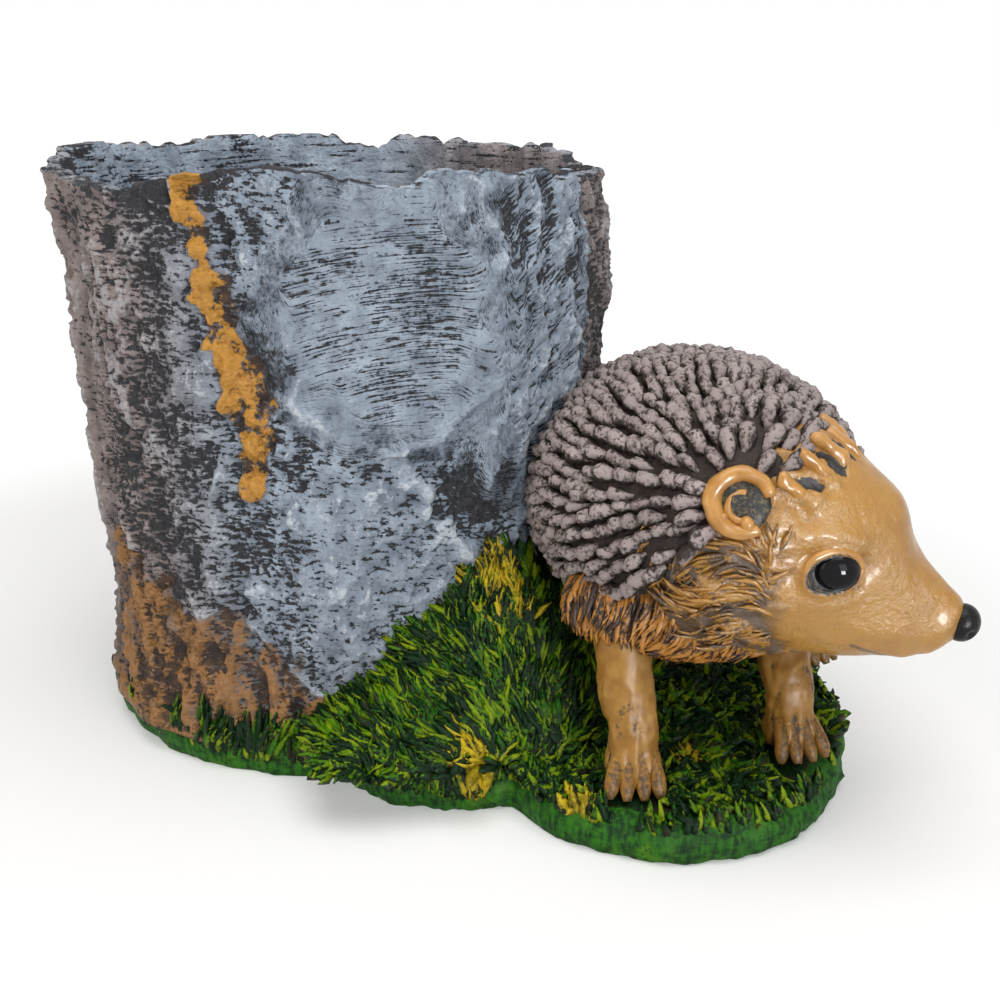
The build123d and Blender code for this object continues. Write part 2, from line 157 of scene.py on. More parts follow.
# Many knobs at once. Each follows root + ahead · length · s + out · height · lift(s), for s from 0 to 1,
# + sideways · bend · length · sin(πs), and its ring at s is an ellipse of the knob's width and height
# times profile(s)
def strands(roots, ahead, out, length, width, height, profile, lift, sides=6, tone=None, bend=0.0, **more):
    profile, lift = np.asarray(profile, float), np.asarray(lift, float)
    count, rings = len(roots), len(profile)
    reach = np.linspace(0, 1, rings)
    angle = np.arange(sides) / sides * 2 * np.pi
    side = np.cross(ahead, out)
    length, width, height, bend = [
        np.broadcast_to(value, count)[:, None, None] for value in (length, width, height, bend)]
    axis = roots[:, None] + ahead[:, None] * length * reach[:, None] + out[:, None] * height * lift[:, None]
    axis = axis + side[:, None] * bend * length * np.sin(reach * np.pi)[:, None]
    across = (side[:, None] * width / 2 * profile[:, None])[:, :, None] * np.cos(angle)[:, None]
    rise = (out[:, None] * height * profile[:, None])[:, :, None] * np.sin(angle)[:, None]
    points = axis[:, :, None] + across + rise
    points = np.concatenate([points.reshape(count, -1, 3), axis[:, :1], axis[:, -1:]], 1)
    each = points.shape[1]
    one = gridPart(np.zeros((rings, sides, 3)))
    step = np.arange(count)[:, None, None] * each

    def mark(body, first, last):
        body = np.broadcast_to(body, (rings, sides)).ravel()
        return np.tile(np.concatenate([body, [first, last]]), count)[:, None]

    tone = np.random.default_rng(5).uniform(0, 1, count) if tone is None else tone
    marks = {
        "crest": mark(0.5 + 0.5 * np.sin(angle)[None], 0.5, 0.6), "reach": mark(reach[:, None], 0, 1),
        "tone": np.repeat(tone, each)[:, None]}
    for name, value in more.items():
        marks[name] = np.repeat(value, each, axis=0).reshape(count * each, -1)
    return {
        "points": points.reshape(-1, 3), "quads": (one["quads"] + step).reshape(-1, 4),
        "triangles": (one["triangles"] + step).reshape(-1, 3), "marks": marks}


# A tube: rings along a path, square to it, each a radius across and the radius times flat upwards
def tube(path, radii, sides=16, flat=1.0, up=(0, 0, 1), **marks):
    path = np.asarray(path, float)
    forward = unit(np.gradient(path, axis=0))
    side = unit(np.cross(forward, np.broadcast_to(up, path.shape)))
    over = np.cross(side, forward)
    angle = np.arange(sides) / sides * 2 * np.pi
    radii = np.broadcast_to(radii, len(path))[:, None, None]
    ring = side[:, None] * np.cos(angle)[:, None] + over[:, None] * np.sin(angle)[:, None] * flat
    points = path[:, None] + radii * ring
    reach = np.linspace(0, 1, len(path))[:, None]
    marks = {"reach": reach, "crest": 0.5 + 0.5 * np.sin(angle)[None], **marks}
    return gridPart(points, {key: np.broadcast_to(value, points.shape[:2]) for key, value in marks.items()})


# A curve through points in space, taken at even steps
def pathThrough(points, count):
    points = np.asarray(points, float)
    knots = np.arange(len(points))
    s = np.linspace(0, len(points) - 1, count)
    return np.stack([curve(s, knots, points[:, i]) for i in range(3)], -1)


# Directions over a whole ball: rows from one pole to the other, columns round the axis
def ballDirections(rows, columns, pole=(0, 0, 1.0), start=(1.0, 0, 0)):
    pole, start = np.array(pole), np.array(start)
    polar = (np.arange(rows) + 0.5) / rows * np.pi
    turn = np.arange(columns) / columns * 2 * np.pi
    second = np.cross(pole, start)
    around = start * np.cos(turn)[:, None] + second * np.sin(turn)[:, None]
    return pole * np.cos(polar)[:, None, None] + around * np.sin(polar)[:, None, None]


# How far a ray from the origin runs before it leaves an ellipsoid: the larger root of a quadratic. A
# ray that misses it gets the place where it passes nearest
def exitFrom(directions, middle, axes, halves):
    scaled = np.asarray(axes) / np.asarray(halves, float)[:, None]
    d, m = directions @ scaled.T, scaled @ np.asarray(middle, float)
    a, b, c = (d * d).sum(-1), d @ m, m @ m - 1
    return (b + np.sqrt(np.maximum(b * b - a * c, 0))) / a


# The larger of two lengths, rounded where they meet: w · log(e^(a / w) + e^(b / w))
def smoothMost(a, b, width=2.0):
    return np.logaddexp(a / width, b / width) * width


# Roughens a part: each point moves by three smooth random heights
def roughened(part, amount, size, seed):
    p = part["points"]
    part["points"] = p + amount * np.stack([grain(p, size, seed + i) for i in range(3)], -1)
    return part


# Adds one mesh object: parts turned to face outwards, kept inside the frame's box, in metres
def addPiece(name, parts, material, slot, *nodes):
    points, quads, triangles, base = [], [], [], 0
    for part in parts:
        p, q, t = part["points"], part["quads"], part["triangles"]
        corners = np.vstack([q[:, [0, 1, 2]], q[:, [0, 2, 3]], t])
        a, b, c = p[corners[:, 0]], p[corners[:, 1]], p[corners[:, 2]]
        if (a * np.cross(b, c)).sum() < 0:
            q, t = q[:, ::-1], t[:, ::-1]
        points.append(p)
        quads.append(q + base)
        triangles.append(t + base)
        base += len(p)
    points = np.clip(np.vstack(points), boxLow, boxHigh) / 1000
    quads, triangles = np.vstack(quads), np.vstack(triangles)
    mesh = bpy.data.meshes.new(name)
    mesh.vertices.add(len(points))
    mesh.vertices.foreach_set("co", points.ravel())
    mesh.loops.add(quads.size + triangles.size)
    mesh.loops.foreach_set("vertex_index", np.concatenate([quads.ravel(), triangles.ravel()]))
    starts = np.concatenate([np.arange(len(quads)) * 4, quads.size + np.arange(len(triangles)) * 3])
    mesh.polygons.add(len(starts))
    mesh.polygons.foreach_set("loop_start", starts)
    mesh.polygons.foreach_set("use_smooth", np.ones(len(starts), bool))
    for mark in sorted({mark for part in parts for mark in part["marks"]}):
        width = max(part["marks"][mark].shape[1] for part in parts if mark in part["marks"])
        values = [part["marks"].get(mark, np.zeros((len(part["points"]), width))) for part in parts]
        layer = mesh.attributes.new(mark, "FLOAT" if width == 1 else "FLOAT_VECTOR", "POINT")
        layer.data.foreach_set("value" if width == 1 else "vector", np.vstack(values).ravel())
    mesh.update(calc_edges=True)
    mesh.validate()
    mesh.materials.append(material)
    made = bpy.data.objects.new(name, mesh)
    bpy.context.scene.collection.objects.link(made)
    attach(made, "root")
    if nodes:
        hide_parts(*nodes)
    print(f"{name}: {len(quads) * 2 + len(triangles)} triangles")


# A number, colour or vector in a shader; arithmetic on it adds Math nodes
class Signal:
    def __init__(self, tree, socket=None):
        self.tree, self.socket = tree, socket

    # One shader node: its type, its settings, then a value or a signal for each input
    def node(self, kind, settings=None, inputs=None, output=0):
        made = self.tree.nodes.new("ShaderNode" + kind)
        for key, value in (settings or {}).items():
            setattr(made, key, value)
        for key, value in (inputs or {}).items():
            if isinstance(value, Signal):
                self.tree.links.new(value.socket, made.inputs[key])
            else:
                made.inputs[key].default_value = value
        return Signal(self.tree, made.outputs[output])

    def maths(self, operation, first, second):
        return self.node("Math", {"operation": operation}, {0: first, 1: second})

    def __add__(self, other):
        return self.maths("ADD", self, other)

    def __radd__(self, other):
        return self.maths("ADD", other, self)

    def __sub__(self, other):
        return self.maths("SUBTRACT", self, other)

    def __rsub__(self, other):
        return self.maths("SUBTRACT", other, self)

    def __mul__(self, other):
        return self.maths("MULTIPLY", self, other)

    def __rmul__(self, other):
        return self.maths("MULTIPLY", other, self)

    def least(self, other):
        return self.maths("MINIMUM", self, other)

    def most(self, other):
        return self.maths("MAXIMUM", self, other)

    # 0 below one value and 1 above another, eased between them
    def step(self, low, high):
        return self.node("MapRange", {"interpolation_type": "SMOOTHSTEP"}, {0: self, 1: low, 2: high})

    # One colour where this is 0 and another where it is 1
    def mix(self, low, high):
        low, high = [value if isinstance(value, Signal) else (*value, 1) for value in (low, high)]
        return self.node("Mix", {"data_type": "RGBA"}, {0: self, 6: low, 7: high}, 2)

    # A bumped normal with this as the height, times a distance in metres
    def bump(self, strength, distance):
        return self.node("Bump", None, {"Strength": strength, "Distance": distance, "Height": self})

    # A value that the mesh carries
    def mark(self, name, vector=False):
        return self.node("Attribute", {"attribute_name": name}, output=1 if vector else 2)

    # Places on the object in metres
    def object(self):
        return self.node("TexCoord", output=3)

    # Cloudy values from 0 to 1 with blobs of about a size, or one size for each axis: in millimetres on
    # the object, or in the units of a vector that the mesh carries
    def cloud(self, size, detail=3, roughness=0.55, vector=None):
        scale = (1 if vector else 1000) / np.broadcast_to(np.asarray(size, float), 3)
        places = self.node(
            "VectorMath", {"operation": "MULTIPLY"}, {0: vector or self.object(), 1: tuple(scale)})
        return self.node("TexNoise", None, {
            "Vector": places, "Scale": 1.0, "Detail": detail, "Roughness": roughness})


# A material whose surface is worked out by look(), from a signal to start from
def paint(name, look, **constants):
    material = bpy.data.materials.new(name)
    material.use_nodes = True
    tree = material.node_tree
    shader = tree.nodes["Principled BSDF"]
    for key, value in constants.items():
        shader.inputs[key.replace("_", " ")].default_value = value
    for key, value in look(Signal(tree)).items():
        tree.links.new(value.socket, shader.inputs[key])
    return material


# Stump

stump = {
    "foot": 10.0, "height": 201.0, "footHalf": (90.0, 73.0), "rimHalf": (97.0, 80.0),
    "floor": 24.0, "wall": 7.5, "drain": 7.5, "drainLip": 7.0, "tear": 8.0, "lean": 5.0,
    "levels": (0.0, 0.1, 0.22, 0.42, 0.62, 0.82, 1.0),
    "spread": (0.5, 0.2, 0.0, 0.4, 0.9, 1.05, 1.0),
    "leans": (0.0, 0.0, 0.1, 0.5, 0.9, 1.0, 0.2),
    "girth": 553.5, "rimGirth": 552, "perDegree": 1.53,  # millimetres round it, and for one degree
    "ribHeight": 1.8, "ribWidth": 9,
    "ribs": (  # turn, share of the height
        (0.10, 1.0), (0.215, 0.9), (0.325, 1.0), (0.42, 0.9), (0.505, 1.0), (0.565, 0.6), (0.62, 0.8),
        (0.65, -0.7), (0.685, 0.7), (0.70, -0.8), (0.735, 0.6), (0.86, 0.7), (0.885, -0.8), (0.925, 0.8)),
    "fluteHeight": 2.4, "flutes": ((0.65, 5, 0.1, 0.1), (0.35, 9, 0.35, -0.15)),  # size, count, phase, twist
    "hollow": (0.794, 37, 0.78, 42, 2.8),  # turn, half width, share of the height, half height, depth
    "columns": 440, "outsideRows": 160, "rimRows": 5, "insideRows": 34}
rimShares = (
    -0.7, -0.6, -0.55, 0.0, 0.15, 0.0, -0.1, 0.0, 0.1, 0.05, 0.3, -0.1, 0.0, 0.5, 0.5, 0.3,
    0.6, 0.3, -0.1, 0.0, 0.2, 0.3, 0.45, 0.5, 0.4, 0.1, -0.1, -0.3, -0.35, -0.5, -0.65, -0.8,
    -0.35, -0.05, 0.1, 0.3, 0.3, -0.05, -0.4, -0.35, 0.1, -0.05, -0.15, -0.1, -0.5, -0.4, -0.6, -0.7)
# Features on the bark: degrees round from +X towards +Y, and heights above the ground
bark = {
    "scoop": (286, 34, 168, 40),  # degrees, half width, height, half height
    "strip": (
        (249.5, 214), (250.4, 200), (250.4, 189), (250.9, 177), (251.9, 164), (253.8, 153), (255.7, 142),
        (256.7, 132), (257.3, 120), (255.6, 108)),
    "stripWidths": ((0, 0.1, 0.45, 0.75, 1), (5.5, 4.6, 6.5, 8.6, 4.0)),
    "rootTops": (
        (190, 203, 216, 224, 235, 247, 257, 266, 273, 285), (15, 60, 92, 82, 66, 62, 54, 44, 32, 12)),
    "strokesFrom": (292, 88)}
barkRidges = (  # line, width, height
    (((265, 211), (268.4, 200), (271.5, 187), (276.8, 176), (279.3, 168)), 1.7, 1.8),
    (((263.6, 167), (266.2, 159), (267.8, 151), (265, 142.5), (271, 134)), 2.2, 1.8),
    (((303.7, 210), (306.2, 200), (308.7, 189), (306.5, 175)), 2.4, 2.4),
    (((271, 134), (278.8, 128.7), (286.8, 122.6), (295, 126.6), (301.2, 136), (308, 145)), 1.8, 1.8),
    (((287.8, 124), (291.2, 113), (294.4, 97.5), (300.3, 86.5), (304.7, 75.4), (311, 65)), 2.2, 2.2),
    (((224.7, 186), (226.7, 170.5), (229, 154), (234, 138), (236, 118)), 2.2, 1.8),
    (((216.7, 100), (222, 84), (222, 66), (226, 48), (224, 28)), 2.4, 2.6),
    (((238, 84), (240, 66), (246, 50), (252, 36)), 2.2, 2.0),
    (((246, 68), (252, 58), (258, 52), (264, 42), (272, 34)), 2.4, 2.4),
    (((228, 80), (233, 62), (236, 48), (243, 34)), 2.0, 1.8),
    (((320, 205), (318, 180), (322, 150), (318, 125)), 2.4, 1.6),
    (((333, 208), (335, 170), (331, 130), (336, 95)), 3.0, 2.0),
    (((205, 200), (201, 160), (206, 120), (203, 70)), 3.4, 2.0),
    (((186, 205), (180, 150), (184, 90), (178, 40)), 4.0, 2.4),
    (((150, 205), (156, 150), (148, 90), (153, 40)), 4.0, 2.4),
    (((118, 208), (112, 150), (120, 90), (115, 40)), 4.0, 2.4),
    (((75, 208), (82, 150), (74, 90), (78, 40)), 4.0, 2.4),
    (((38, 205), (32, 150), (40, 90), (35, 40)), 4.0, 2.4))
barkPits = (  # degrees, height, half width, half height, depth
    (313, 201, 3.0, 7.0, 1.8), (325, 200, 2.6, 8.0, 2.0), (262, 151, 8.5, 8.5, 1.2), (300, 106, 9, 8, 1.6),
    (308, 92, 7, 9, 1.4), (262, 138, 6, 4, 1.4), (244, 196, 10, 6, 1.3), (238, 206, 6, 4, 1.3),
    (250, 64, 6, 6, 1.2), (262, 46, 5, 5, 1.2), (288, 36, 10, 4, 1.2), (226, 120, 6, 12, 0.9))


# The middle, half width and half depth of the stump at a height, from its table of levels
def stumpSection(z):
    share = (z - stump["foot"]) / stump["height"]
    spread = curve(share, stump["levels"], stump["spread"])
    lean = stump["lean"] * curve(share, stump["levels"], stump["leans"])
    halves = [low + (high - low) * spread for low, high in zip(stump["footHalf"], stump["rimHalf"])]
    return lean, *halves


# The stump's side at turns and heights, pushed out by a length: an ellipse plus broad flutes, bell
# shaped ribs, and the hollow high on the front
def stumpSide(turn, z, push):
    lean, halfWidth, halfDepth = stumpSection(z)
    share = (z - stump["foot"]) / stump["height"]
    flutes = sum(
        size * np.sin(2 * np.pi * (count * turn + phase + twist * share))
        for size, count, phase, twist in stump["flutes"])
    turn = turn + 0 * z
    ribs = sum(
        size * hill(((turn - place + 0.5) % 1 - 0.5) * stump["girth"], stump["ribWidth"])
        for place, size in stump["ribs"])
    place, halfAcross, height, halfUp, depth = stump["hollow"]
    across = (turn - place) * stump["girth"] / halfAcross
    up = (share - height) * stump["height"] / halfUp
    push = push + stump["ribHeight"] * ribs - depth * np.maximum(0, 1 - across**2 - up**2)
    spoke = np.stack([halfWidth * np.cos(2 * np.pi * turn), halfDepth * np.sin(2 * np.pi * turn)], -1)
    spoke = spoke + unit(spoke) * (push + stump["fluteHeight"] * flutes)[..., None]
    return np.stack([spoke[..., 0] + lean, spoke[..., 1], z + 0 * turn], -1)


# Places along the rim, for its random heights
def alongRim(turn, layer=0):
    return np.stack([turn * stump["rimGirth"], 0 * turn, 0 * turn + layer], -1)


# Heights of the torn rim: the tear times a table of shares round it, and small teeth, lower at the front
def rimHeights(turn):
    places = np.append(np.arange(len(rimShares)), len(rimShares)) / len(rimShares)
    top = stump["foot"] + stump["height"] + stump["tear"] * np.interp(turn, places, rimShares + rimShares[:1])
    teeth = rough(alongRim(turn), 4.0, 31)
    return top + np.minimum(teeth * (1.5 - 0.9 * hill(turn - 0.75, 0.13)), 1.2)


# The bark's height off the stump's side, by degrees and height: ridges and pits from their tables, sharp
# facets, slabs, crust and crackle, all weaker in the scoop, then lumps along the strip and on the roots.
# Also how far each place is in the scoop, on the strip and on the roots, from 0 to 1
def barkRelief(degrees, z):
    flat = np.stack([degrees * stump["perDegree"], z], -1)
    solid = np.stack([flat[..., 0], 0 * z, z], -1)
    scale = (stump["perDegree"], 1)
    relief = np.zeros(z.shape)
    for line, width, height in barkRidges:
        wobble = 2.0 * np.stack([grain(solid, 9, 40), grain(solid, 9, 41)], -1)
        far, way = lineAt(flat + wobble, np.array(line) * scale)
        size = 1 - 0.5 * np.abs(2 * way - 1) ** 3
        relief += height * size * hill(far, width * (0.7 + 0.5 * grain(solid, 12, 42)))
    for angle, height, halfWidth, halfHeight, depth in barkPits:
        far = np.hypot((flat[..., 0] - angle * stump["perDegree"]) / halfWidth, (z - height) / halfHeight)
        relief -= depth * ease(1.25 + 0.35 * grain(solid, 3, 43) - far, 0, 0.5)
    angle, halfWidth, height, halfHeight = bark["scoop"]
    scoop = np.hypot((degrees - angle) * stump["perDegree"] / halfWidth, (z - height) / halfHeight)
    smooth = ease(1.25 - scoop + 0.2 * grain(solid, 14, 47), 0, 0.4)
    relief -= 0.8 * ease(1.1 - scoop, 0, 0.75)
    facets = 0.5 - np.abs(rough(solid, (17, 10, 30), 44, 2))
    relief += (1 - smooth) * (1.6 * facets + 1.1 * rough(solid, (5, 5, 9), 45))
    relief += smooth * 0.5 * rough(solid, (14, 10, 5), 46)
    relief += 0.35 * rough(solid, 2.2, 48, 2) * (1 - 0.6 * smooth)
    crust = creases(solid + 2.5 * rough(solid, 6, 38, 2)[..., None], (9, 9, 12), 39, 3.2)
    crackle = creases(solid, (3.6, 3.6, 4.4), 37, 3.0)
    relief += (1 - smooth * 0.85) * (1.3 * np.clip(crust, 0, 1) ** 1.5 + 0.7 * np.clip(crackle, -0.3, 1))
    slab = creases(solid, (26, 26, 34), 36, 5)
    relief += (1 - smooth * 0.5) * 1.1 * np.clip(slab, 0, 1) ** 1.2

    far, way = lineAt(flat + 2.2 * grain(solid, 6, 50)[..., None], np.array(bark["strip"]) * scale)
    width = np.interp(way, *bark["stripWidths"])
    strip = ease(width + 2.4 * grain(solid, 5, 51) - far, 0, 1.6)
    relief += strip * (0.7 + 2.0 * grain(solid, 4.5, 52)) - 0.9 * hill(far - width - 1.5, 1.2) * (way < 0.97)
    edge = np.interp(degrees, *bark["rootTops"])
    roots = ease(edge + 7 * rough(solid, 12, 53, 2) - z, 0, 7) * ease(degrees, 188, 206)
    relief += roots * (1.4 * np.clip(creases(solid, (7, 7, 22), 54, 2.2), -0.6, 1) - 0.2)
    relief = (np.clip(relief - 0.5, -6.0, 2.6) - 0.8) * ease(z, 10, 16)
    return relief, smooth, strip, roots


# Coordinates of the brush's strokes: along them and, finer, across them. Across is the distance from a
# place below the scoop, and to its right a slanting height; away from both, the strokes lie level
def brushStrokes(degrees, z, smooth):
    girth, spot = degrees * stump["perDegree"], bark["strokesFrom"]
    across = np.hypot(girth - spot[0] * stump["perDegree"], (z - spot[1]) * 1.25)
    right = ease(degrees, 298, 312)
    across = across * (1 - right) + (0.75 * z - 0.66 * (girth - 459) - 19) * right + 66
    curved = np.maximum(smooth, right * ease(degrees, 345, 335) * ease(z, 95, 120))
    along = (girth + 0.25 * z) / (3.4 + 6.6 * curved)
    return np.stack([along, (curved * across + (1 - curved) * z) / (1.5 - 0.7 * curved), curved * 3], -1)


# How much light paint the bark holds, by degrees and height
def barkCover(degrees, z, top, smooth):
    solid = np.stack([degrees * stump["perDegree"], 0 * z, z], -1)
    cover = 0.66 + 0.06 * rough(solid, 24, 55, 2) + 0.07 * smooth
    cover += 0.10 * hill(top - z - 3, 4) * (0.5 + rough(solid, 8, 35, 2))  # below the rim
    cover += 0.10 * band(degrees, 190, 10, 222, 10)
    cover += 0.07 * band(degrees, 262, 13, 320, 14)
    cover -= 0.05 * band(degrees, 218, 10, 246, 8)
    cover -= 0.05 * band(degrees, 205, 10, 252, 10)
    cover -= 0.22 * ease(z, 198, 210) * band(degrees, 226, 10, 262, 8)  # dark above the strip
    cover -= 0.2 * hill(np.hypot((degrees - 300) * stump["perDegree"] / 12, (z - 100) / 14))
    cover -= 0.18 * ease(34 - z, 0, 14) * ease(degrees, 262, 276)  # dark at the foot
    return np.where((degrees > 350) | (degrees < 190), cover - 0.05, cover)


# The stump: rows up the outside, over the rim, down the inside, across the floor and back underneath
def buildStump():
    # Columns lie closer together at the front: turn = u - 0.35 sin(2π(u - 3/4)) / 2π
    u = np.arange(stump["columns"]) / stump["columns"]
    turn = u - 0.35 / (2 * np.pi) * np.sin(2 * np.pi * (u - 0.75))
    top = rimHeights(turn)

    # Outside: heights from the foot to the torn rim, then relief added square to the ellipse
    share = np.linspace(0, 1, stump["outsideRows"])[:, None]
    z = stump["foot"] + share * (top - stump["foot"])
    degrees = np.broadcast_to(turn * 360, z.shape)
    relief, smooth, strip, roots = barkRelief(degrees, z)
    outside = stumpSide(degrees / 360, z, relief)
    warm = 1.15 * ease(262 - degrees, 0, 36) + ease(90 - z, 0, 90) * 0.35

    # Rim: from the outside's top edge over to the inside, half a round section
    rows = [outside]
    thickness = stump["wall"] * (0.62 + 0.28 * grain(alongRim(turn), 16, 60))
    rimPush = relief[-1]
    for i in range(1, stump["rimRows"] + 1):
        bow = i / (stump["rimRows"] + 1) * np.pi
        push = rimPush - thickness * (1 - np.cos(bow)) / 2
        bulge = 0.9 * np.sin(bow) * (1 + 0.8 * grain(alongRim(turn, i), 5, 61))
        rows.append(stumpSide(turn, top + bulge, push)[None])
    # Inside: down to the floor, with broad strokes in the clay
    share = np.linspace(0, 1, stump["insideRows"])[:, None]
    zIn = top + share * (stump["floor"] - top)
    spot = np.stack([np.broadcast_to(turn * stump["rimGirth"], zIn.shape), 0 * zIn, zIn], -1)
    wall = thickness + rimPush * -1 + (stump["wall"] - thickness) * ease(share, 0, 0.12)
    wall = wall * (1 - share) + stump["wall"] * share
    inner = -wall + 0.9 * rough(spot, (26, 10, 9), 62) * ease(share, 0, 0.05) - 0.4
    inside = stumpSide(np.broadcast_to(turn, zIn.shape), zIn, inner)
    rows.append(inside)
    # Floor, drain hole and underside: rings that shrink to the hole and come back below
    hole = stump["drain"] * np.stack([np.cos(2 * np.pi * turn), np.sin(2 * np.pi * turn), 0 * turn], -1)
    for way in (0.25, 0.5, 0.75):
        rows.append((inside[-1] * (1 - way) + (hole + (0, 0, stump["floor"])) * way)[None])
    for height in (stump["floor"], stump["floor"] - stump["drainLip"], stump["foot"]):
        rows.append((hole + (0, 0, height))[None])
    for way in (0.33, 0.66):
        rows.append(((hole + (0, 0, stump["foot"])) * (1 - way) + outside[0] * way)[None])
    points = np.concatenate(rows)
    rest = points[len(z):]

    # Marks for the paint: first those of the outside, then those of the rim, the inside and the floor
    def overRest(value):
        return np.broadcast_to(np.asarray(value, float), rest.shape[:2])

    girth = overRest(turn * stump["rimGirth"])
    restStroke = [rest[..., 2] / 5 + girth / 14, rest[..., 2] / 1.6, overRest(9)]
    inset = np.zeros((len(rest), 1))
    inset[stump["rimRows"]:] = 1
    darkLip = ease(np.abs(overRest(turn * 360) - 265), 12, 8) * (1 - inset)
    coverAndLightIn = 0.72 + 0.14 * rough(rest, 20, 63, 2) - 0.45 * darkLip
    # Inside, the light paint thins from the back wall to the front wall: painted light on the back wall and
    # painted shade on the front wall
    coverAndLightIn = coverAndLightIn - 0.34 * inset * ease(rest[..., 1], 30, -20) - 0.16 * (1 - inset)
    warmIn = overRest(warm[-1]) * 0.5 * (1 - inset) + inset * ease(rest[..., 0], 5, 60)
    pairs = {
        "relief": (relief - 0.8 * relief.mean(), 0.3 * rough(rest, 5, 64, 2)),
        "cover": (barkCover(degrees, z, top, smooth), coverAndLightIn),
        "ochre": (strip, overRest(strip[-1]) * (1 - inset)),
        "roots": (roots, overRest(0)),
        "warm": (warm, warmIn),
        "stroke": (brushStrokes(degrees, z, smooth), np.stack(restStroke, -1))}
    return gridPart(points, {name: np.concatenate(pair) for name, pair in pairs.items()}, wrapRows=True)


# Light paint brushed over charcoal: it stays on what stands out and breaks up along the strokes.
# Ochre lies on the strip, and ochre over brown on the roots
def barkLook(s):
    fine = s.cloud(1.5, 5, 0.65)
    streak = s.cloud(1.0, 4, 0.6, s.mark("stroke", True))
    patch = s.cloud(14)
    relief, warm, strip, roots = [s.mark(name) for name in ("relief", "warm", "ochre", "roots")]
    # The cover mark is the amount of light paint; inside the stump it also holds painted light on the back
    # wall and painted shade on the front wall
    amount = s.mark("cover") + (streak - 0.5) * 1.55 + (fine - 0.5) * 0.75 + (patch - 0.5) * 0.25
    light = (amount + relief * 0.11).step(0.50, 0.62)
    tint = s.cloud(9, 4).step(0.3, 0.7)
    blue = tint.mix((0.215, 0.262, 0.330), (0.40, 0.475, 0.57))
    mauve = tint.mix((0.130, 0.100, 0.095), (0.30, 0.245, 0.230))
    under = fine.step(0.35, 0.7).mix((0.008, 0.009, 0.012), (0.038, 0.038, 0.046))
    colour = light.mix(under, (warm * 0.85).mix(blue, mauve))
    tips = (relief * 0.30 + (fine - 0.5) * 1.8 + (streak - 0.5) * 1.2).step(0.30, 0.70) * light
    colour = (tips * 0.75 * (1 - warm * 0.5)).mix(colour, (0.66, 0.71, 0.77))
    bits = (s.cloud(3.2, 4, 0.6) - 0.5) * 1.3 + (fine - 0.5) * 0.5 + relief * 0.10
    ochre = (strip - 0.60 + bits + relief * 0.05).step(0.24, 0.36) * strip.step(0.05, 0.3)
    stripPaint = fine.step(0.2, 0.8).mix((0.42, 0.18, 0.020), (0.66, 0.33, 0.050))
    brown = s.cloud(6).step(0.4, 0.6).mix((0.025, 0.014, 0.009), (0.085, 0.045, 0.025))
    rootDark = (roots + (patch - 0.5) * 0.8).step(0.35, 0.7)
    colour = (rootDark * (1 - light * 0.35)).mix(colour, brown)
    rootOchre = (roots * 0.50 + bits * 0.9 + (streak - 0.5) * 1.1 + relief * 0.08).step(0.38, 0.58) * roots
    rootOchre = rootOchre * s.cloud(16, 2).step(0.26, 0.5)
    colour = (rootOchre * 0.9).mix(colour, fine.mix((0.22, 0.095, 0.022), (0.44, 0.215, 0.060)))
    colour = ochre.mix((strip * 0.8).mix(colour, brown), stripPaint)
    bump = (light * 0.6 + fine * 1.3 + s.cloud(2.6)).bump(0.9, 0.0011)
    return {"Base Color": colour, "Roughness": 0.62 - light * 0.16 - ochre * 0.12, "Normal": bump}


addPiece("stump_bark", [buildStump()], paint("bark", barkLook, Specular_IOR_Level=0.3), "bark", "stump_pot")


# Hedgehog

hog = {
    "middle": (132.42, -50.0, 101.0), "yaw": 12.0, "coatHalf": (57.0, 65.0, 48.0),
    "hoodHalf": (40, 38.5, 44.5), "trunkHalf": (51.5, 59.5, 42.5), "skirt": 66.0, "skirtStep": 5.5,
    "skull": (136.92, -88.0, 101.0), "turn": 20.0, "droop": 15.5, "muzzle": 77.0,
    "skullHalf": (34.0, 40.0), "ear": (135.0, -119.6, 122.4)}
hogMiddle, skull, earPlace = [np.array(hog[key]) for key in ("middle", "skull", "ear")]
yaw, turned, droop = np.radians([hog["yaw"], -hog["turn"], hog["droop"]])
bodyAxes = np.array([[np.cos(yaw), np.sin(yaw), 0], [-np.sin(yaw), np.cos(yaw), 0], [0, 0, 1]])
headAxes = np.array([
    [np.cos(droop) * np.cos(turned), np.cos(droop) * np.sin(turned), -np.sin(droop)],
    [-np.sin(turned), np.cos(turned), 0],
    [np.sin(droop) * np.cos(turned), np.sin(droop) * np.sin(turned), np.cos(droop)]])


# From the head's own axes (ahead, to its left, to its crown) to the frame
def fromHead(points):
    return skull + np.asarray(points, float) @ headAxes


# How far a place is ahead of the slanted edge where the quills end on the head
def aheadOfEdge(points):
    inHead = (points - skull) @ headAxes.T
    ahead, up = inHead[..., 0], inHead[..., 2]
    return ahead * 0.891 - up * 0.454 + 8 - 3.5 * ease(up, 18, 36) + 1.5 * grain(points, 7, 70)


# The quills' mean surface in each direction from the body's middle: the larger of the coat's
# ellipsoid and the hood's round the skull, rounded between; the hood stops at the face, the skirt steps in
def quillSurface(directions, inset=0.0):
    coat = exitFrom(directions, (0, 0, 0), bodyAxes, hog["coatHalf"])
    hood = exitFrom(directions, skull - hogMiddle + 4 * headAxes[0], headAxes, hog["hoodHalf"])
    hood = hood - 30 * ease(aheadOfEdge(hogMiddle + directions * hood[..., None]), 0, 4)
    far = smoothMost(coat, hood) - inset
    below = ease(hog["skirt"] + 2 - (hogMiddle[2] + directions[..., 2] * far), 0, 4)
    return hogMiddle + directions * (far - hog["skirtStep"] * below)[..., None]


